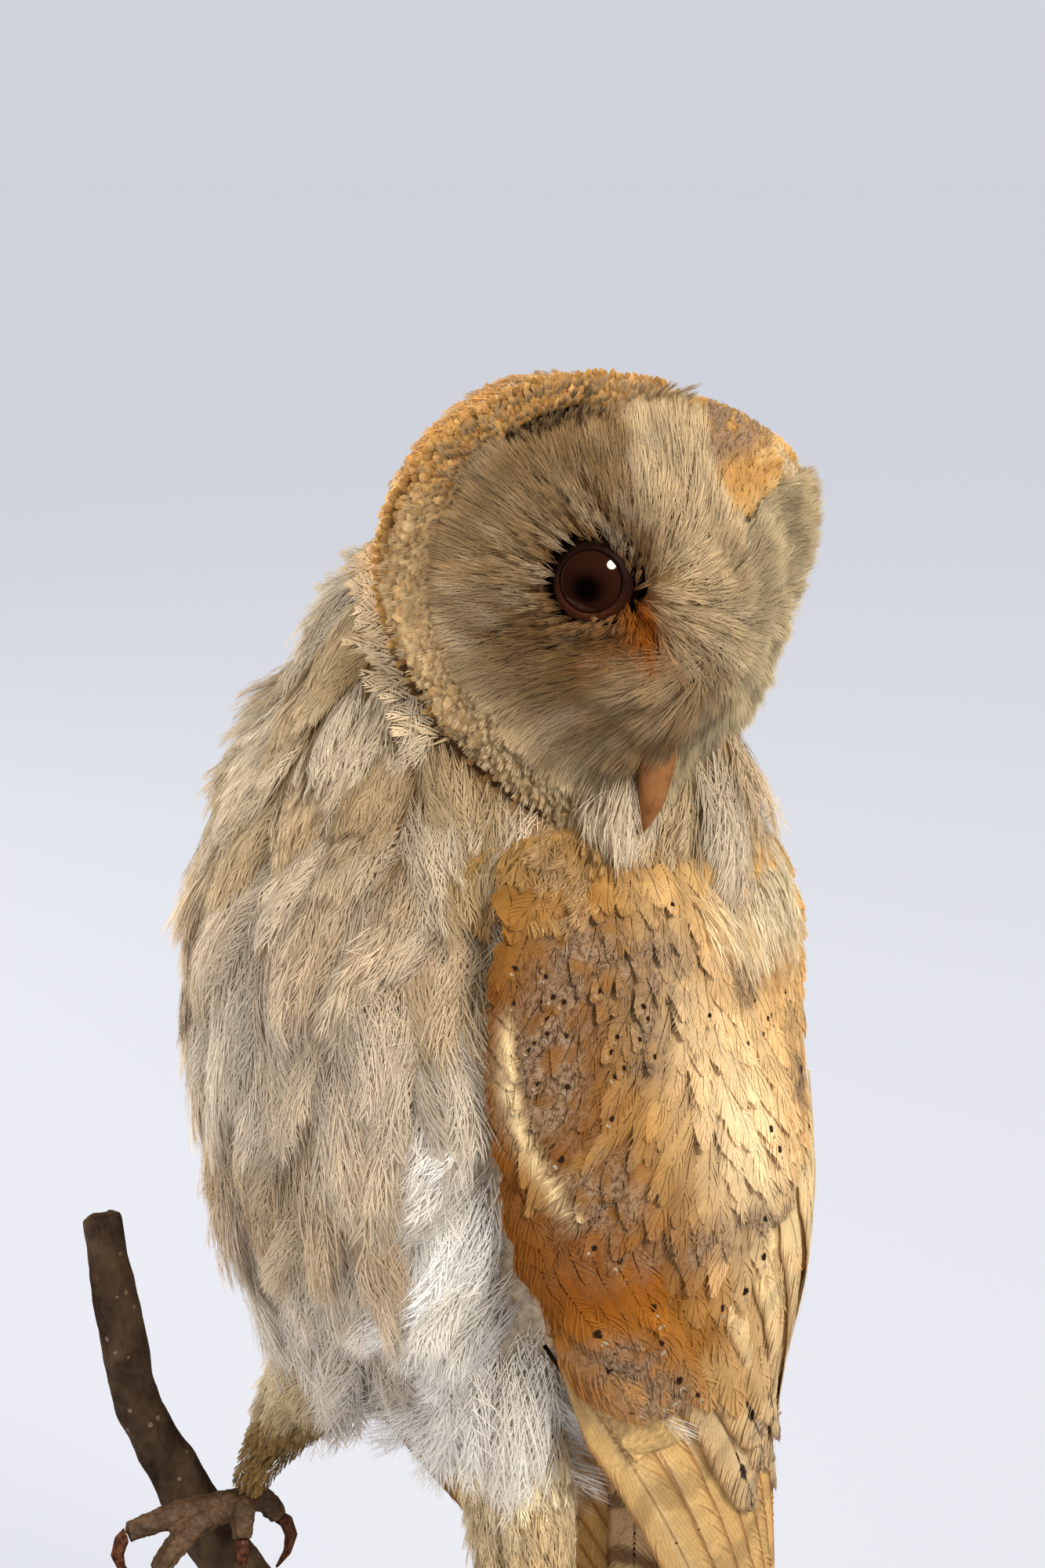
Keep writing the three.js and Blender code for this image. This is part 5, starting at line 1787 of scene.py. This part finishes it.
def make_flight(material):
    for side, word in SIDES:
        # primaries: the outermost lies lowest and runs down the leading edge to the wing's tip
        k = np.arange(PRIMARIES) / (PRIMARIES - 1)
        lift = mix(-1.0, 1.4, k)
        fan = (
            mix(-0.01, 0.52, k), mix(200, 196, k), lift - 1.2,
            mix(0.05, 0.97, k**0.9), mix(32, 92, k**1.6), lift,
        )
        tint = shade_of(np.tile(srgb("dcac5e"), (PRIMARIES, 1)), ("e0c490", 0.35 * (1 - k)))
        long_feathers(
            f"primaries_{word}", side, fan, mix(5.6, 8.0, k), tint, (0, 0.5, 0.30), material,
            f"wing_{word}_primaries", seed=110,
        )
        # secondaries and the inner feathers over them, in two lengths
        k = np.arange(SECONDARIES) / (SECONDARIES - 1)
        lift = mix(1.2, 3.8, k)
        short = np.arange(SECONDARIES) % 2
        fan = (
            mix(0.16, 0.82, k), mix(205, 236, k), lift - 2.6,
            mix(0.34, 0.98, k), 138 + 9 * np.sin(k * 9) + 14 * short - 4 * k, lift + 0.8 * short,
        )
        tint = np.tile(srgb("f0d49c"), (SECONDARIES, 1))
        tint = shade_of(tint, (ORANGE, 0.30 * step(0.5, 0.1, k)), (PALE_GOLD, 0.4 * k))
        long_feathers(
            f"secondaries_{word}", side, fan, mix(7.0, 7.5, k), tint, (1, 0.9, 0.2), material,
            f"wing_{word}_secondaries", seed=120,
        )


def tail_frame(t, z):
    """A place on the tail's back: t from -1 on the right to 1 on the left."""
    share = (152 - z) / 100
    wide = mix(11, 20, step(0, 1, share))
    p = np.stack([t * wide, mix(50, 68, share) - 6 * t * t, z + 5 * t * t * share], -1)
    return p, unit(np.stack([t * 0.5, np.ones_like(t), 0.15 + 0 * t], -1))


def make_tail(material):
    t = np.linspace(-1, 1, TAIL_FEATHERS)
    out = 1 - np.abs(t)
    fan = (t * 0.8, 152 + 0 * t, out * 1.6, t, 50 + 0 * t, out * 1.6)
    tint = shade_of(np.tile(srgb("d4a866"), (TAIL_FEATHERS, 1)), (CREAM, 0.5 * t**2))
    half = np.full(TAIL_FEATHERS, 7.0)
    long_feathers("tail_feathers", 1, fan, half, tint, (0, 0.5, 0.8), material, "tail", 130, tail_frame)


# ---------------------------------------------------------------- bare parts
def bare_piece(name, node, material, voxel, smooth, relief=None):
    """A CAD node carried over in small smooth faces. relief gives how far each place stands out."""
    points, triangles = refined([node], voxel, smooth)
    if relief:
        points = points + vertex_normals(points, triangles) * relief(points)[:, None]
    piece = make_object(name, points, [triangles], (), None, material)
    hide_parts(node)


def bark_relief(p):
    """Ridges that run along the branch."""
    return wave(p * [1, 1, 0.25], 5, 1) * 0.25 + wave(p * [1, 1, 0.35], 2.6, 2) * 0.12


def make_bark():
    n = Nodes("bark", 0.85, 0.25)
    place = n.place()
    patches = n.noise(0.012, 4, 0.6, place)
    fibre = n.noise(0.0016, 4, 0.65, n.stretched(place, (1, 1, 0.3)))
    tone = n.blend("302013", "54412d", n.ramp(patches, 0.35, 0.65))
    tone = n.blend(tone, "20150d", n.ramp(fibre, 0.55, 0.75, 0, 0.75))
    pores = n.ramp(n.cells(0.004, place), 0.10, 0.16, 0.8, 0)
    n.colour(n.blend(tone, "7d6850", pores))
    n.bump(n.math("ADD", fibre, n.math("MULTIPLY", patches, 0.6)), 0.7, 0.0008)
    bare_piece("branch_bark", "branch", n.material, voxel=0.9, smooth=5, relief=bark_relief)


def toe_relief(p):
    """The toes' bumpy skin."""
    return 0.18 * wave(p, 3.2, 3) + 0.10 * wave(p, 1.6, 4)


def make_feet():
    n = Nodes("toe_skin", 0.62, 0.35)
    scales = n.cells(0.0011, n.place())
    tone = n.blend("4a3624", "634a31", n.ramp(n.noise(0.005, 3), 0.3, 0.7))
    n.colour(n.blend(tone, "382818", n.ramp(scales, 0.4, 0.7, 0, 0.45)))
    n.bump(scales, 0.8, 0.0005)
    claw = Nodes("claw_horn", 0.32, 0.5)
    grain = claw.noise(0.0012, 3, 0.6)
    claw.colour(claw.blend("2a1610", "6e3f28", claw.ramp(grain, 0.3, 0.75)))
    claw.bump(grain, 0.25, 0.0003)
    for _, word in SIDES:
        toes, foot = f"toes_{word}", f"foot_{word}"
        bare_piece(toes, foot, n.material, voxel=0.45, smooth=3, relief=toe_relief)
    for _, word in SIDES:
        for toe in ("outer", "middle", "inner", "hind"):
            talon, node = f"talon_{word}_{toe}", f"claw_{word}_{toe}"
            bare_piece(talon, node, claw.material, voxel=0.22, smooth=6)


def make_bill():
    n = Nodes("bill_horn", 0.4, 0.3)
    place = n.place()
    cloud = n.noise(0.006, 3, 0.5, place)
    streak = n.noise(0.0012, 3, 0.6, n.stretched(place, (1, 1, 0.35)))
    tone = n.blend("744620", "916034", n.ramp(cloud, 0.3, 0.7))
    n.colour(n.blend(tone, "55300f", n.ramp(streak, 0.5, 0.8, 0, 0.6)))
    n.bump(streak, 0.3, 0.0003)
    n.set(Coat_Weight=0.15, Coat_Roughness=0.3)
    for half in ("upper", "lower"):
        bare_piece(f"horn_{half}", f"bill_{half}", n.material, voxel=0.4, smooth=5)


def loop_faces(rows, around):
    """Quads between rows of points, each row a closed loop of around points."""
    k = np.arange(around)
    first = np.arange(rows - 1)[:, None] * around
    i, j = first + k, first + (k + 1) % around
    return np.stack([i, j, j + around, i + around], -1).reshape(-1, 4)


def turned_over(quads):
    """The quads facing the other way."""
    return quads[:, [0, 3, 2, 1]]


def circle(sides):
    """The angles of places round a circle."""
    return np.linspace(0, 2 * np.pi, sides, endpoint=False)


def ball(radius, rings=40, sides=64):
    """A ball round the origin, with its pole along -Y: (points, faces)."""
    a, b = np.linspace(0, np.pi, rings + 1)[:, None], circle(sides)
    points = np.stack([np.sin(a) * np.cos(b), -np.cos(a) + 0 * b, np.sin(a) * np.sin(b)], -1) * radius
    return points.reshape(-1, 3), turned_over(loop_faces(rings + 1, sides))


PUPIL_WAY = unit(np.array([0.0, 1.0, 0.14]))  # a little low
LID_OPENING = 5.75


def glass_shape():
    """(points, faces, how far each point is from the pupil) of a glass eye that looks along -Y."""
    points, quads = ball(EYE_RADIUS)
    angle = np.arccos(np.clip(-points[:, 1] / EYE_RADIUS, -1, 1))
    low = np.arccos(np.clip(-points @ PUPIL_WAY / EYE_RADIUS, -1, 1))
    look = mix(low, angle, step(0.3, 0.55, angle)) / 1.2
    fuller = 1 + 0.04 * np.exp(-((angle / 0.55) ** 2))  # the cornea
    return points * fuller[:, None], quads, look


def lid_shape(side, sides=96, ring=14):
    """(points, faces, redness) of the lid, which lies on the ball round the opening.

    It is thicker towards the bill and below.
    """
    a, b = circle(sides)[:, None], circle(ring)[None, :]
    bill_way = -0.55 if side < 0 else np.pi + 0.55
    toward_bill = (0.5 + 0.5 * np.cos(a - bill_way)) ** 1.5
    below = (0.5 - 0.5 * np.sin(a)) ** 2
    wide = 0.38 + 0.60 * toward_bill + 0.30 * below + 0.05 * np.sin(9 * a) + 0.04 * np.sin(23 * a + 1)
    high = 0.36 + 0.30 * toward_bill
    away = LID_OPENING + wide + wide * np.cos(b)
    on_ball = np.sqrt(np.maximum(EYE_RADIUS**2 - away**2, 1.0))
    out = on_ball + 0.25 + high * np.sin(b) + 0.9 * (away - LID_OPENING) / 2.0
    points = np.stack([away * np.cos(a), -out, away * np.sin(a)], -1).reshape(-1, 3)
    faces = turned_over(loop_faces(sides + 1, ring)) % (sides * ring)
    return points, faces, np.broadcast_to(np.clip(below * 1.3 - 0.2, 0, 1), (sides, ring)).reshape(-1, 1)


def make_eyes():
    n = Nodes("eye_glass", 0.05, 0.5)
    n.set(IOR=1.40)
    look = n.put("ShaderNodeSeparateXYZ", {0: n.attribute("look").outputs["Vector"]}).outputs[0]
    tone = n.blend("26120a", "050202", n.ramp(look, 0.46, 0.12))
    n.colour(n.blend(tone, "0c0503", n.ramp(look, 0.56, 0.66)))
    lid = Nodes("eye_lid", 0.6, 0.08)
    grain = lid.noise(0.0012, 3, 0.6)
    coat = lid.attribute("coat").outputs["Color"]
    lid.colour(lid.blend(coat, "1c0b06", lid.ramp(grain, 0.45, 0.7, 0, 0.5)))
    lid.bump(grain, 0.6, 0.0004)
    for side, word in reversed(SIDES):
        gaze = eye_gaze(side)
        frame_x = unit(np.cross([0, 0, 1.0], gaze))
        turn = np.stack([frame_x, -gaze, np.cross(frame_x, -gaze)], 0)
        points, quads, away = glass_shape()
        world = from_head(points @ turn + EYE * [side, 1, 1])
        attributes = [("look", "FLOAT_VECTOR", np.stack([away, 0 * away, 0 * away], -1))]
        piece = make_object(f"glass_{word}", world, [quads], attributes, None, n.material)
        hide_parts(f"eye_{word}")
        points, quads, red = lid_shape(side)
        world = from_head(points @ turn + EYE * [side, 1, 1])
        attributes = [("coat", "FLOAT_COLOR", opaque(mix(srgb("1c0905"), srgb("42200c"), red)))]
        make_object(f"lid_{word}", world, [quads], attributes, None, lid.material)


BASE_PROFILE = [  # (radius, height) up the turned edge
    (79.5, 0), (81.2, 0.5), (BASE_RADIUS, 1.6), (BASE_RADIUS, 13.0), (81.5, 14.4), (80.4, 15.4), (78.8, 15.9),
    (78.0, 16.2), (77.6, 17.0), (76.9, 18.3), (75.6, 19.3), (74.0, 19.9), (71, BASE_HEIGHT),
]


def make_base(sides=160):
    """The turned wooden base."""
    a = circle(sides)
    rings = [np.stack([r * np.cos(a), r * np.sin(a), np.full(sides, float(h))], -1) for r, h in BASE_PROFILE]
    points = np.concatenate([*rings, [[0, 0, 0], [0, 0, BASE_HEIGHT]]])
    count = len(rings)
    near, far = np.arange(sides), (np.arange(sides) + 1) % sides
    last = (count - 1) * sides
    bottom = np.stack([near * 0 + count * sides, far, near], -1)
    top = np.stack([near * 0 + count * sides + 1, near + last, far + last], -1)
    n = Nodes("base_wood", 0.42, 0.4)
    along_grain = n.stretched(n.place(), (1, 0.12, 1))
    grain = n.noise(0.0012, 3, 0.6, along_grain)
    tone = n.blend("5a3620", "8a5a36", n.ramp(n.noise(0.010, 3, 0.5, along_grain), 0.35, 0.65))
    n.colour(n.blend(tone, "3b2213", n.ramp(grain, 0.55, 0.8, 0, 0.7)))
    n.bump(grain, 0.25, 0.0003)
    n.set(Coat_Weight=0.25, Coat_Roughness=0.25)
    faces = [loop_faces(count, sides), bottom, top]
    piece = make_object("base_turned", points, faces, (), None, n.material)
    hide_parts("stand_base")


# ---------------------------------------------------------------- assembly
def main():
    add_camera()
    add_studio()
    plume = feather_material("plume", 0.7, sheen=0.1, mottle=0.08, fine=0.0006, thin=0.25)
    soft = feather_material("soft_feather", 0.8, sheen=0.10, mottle=0.06, fine=0.0010, thin=0.30)
    vane = feather_material("vaned_feather", 0.7, sheen=0.05, mottle=0.08, fine=0.0007, thin=0.2, lines=160.0)
    covert = feather_material("covert_feather", 0.8, sheen=0.03, mottle=0.08, fine=0.0008, thin=0.25)
    flesh = make_skin()
    make_face(plume)
    make_forehead(covert)
    make_ruff(covert)
    make_body(flesh, soft)
    make_mantle(flesh, covert)
    make_crown(flesh, covert)
    make_legs(flesh, soft)
    make_flight(vane)
    make_coverts(covert)
    make_bend(covert)
    make_tail(vane)
    make_bark()
    make_feet()
    make_bill()
    make_eyes()
    make_base()


main()
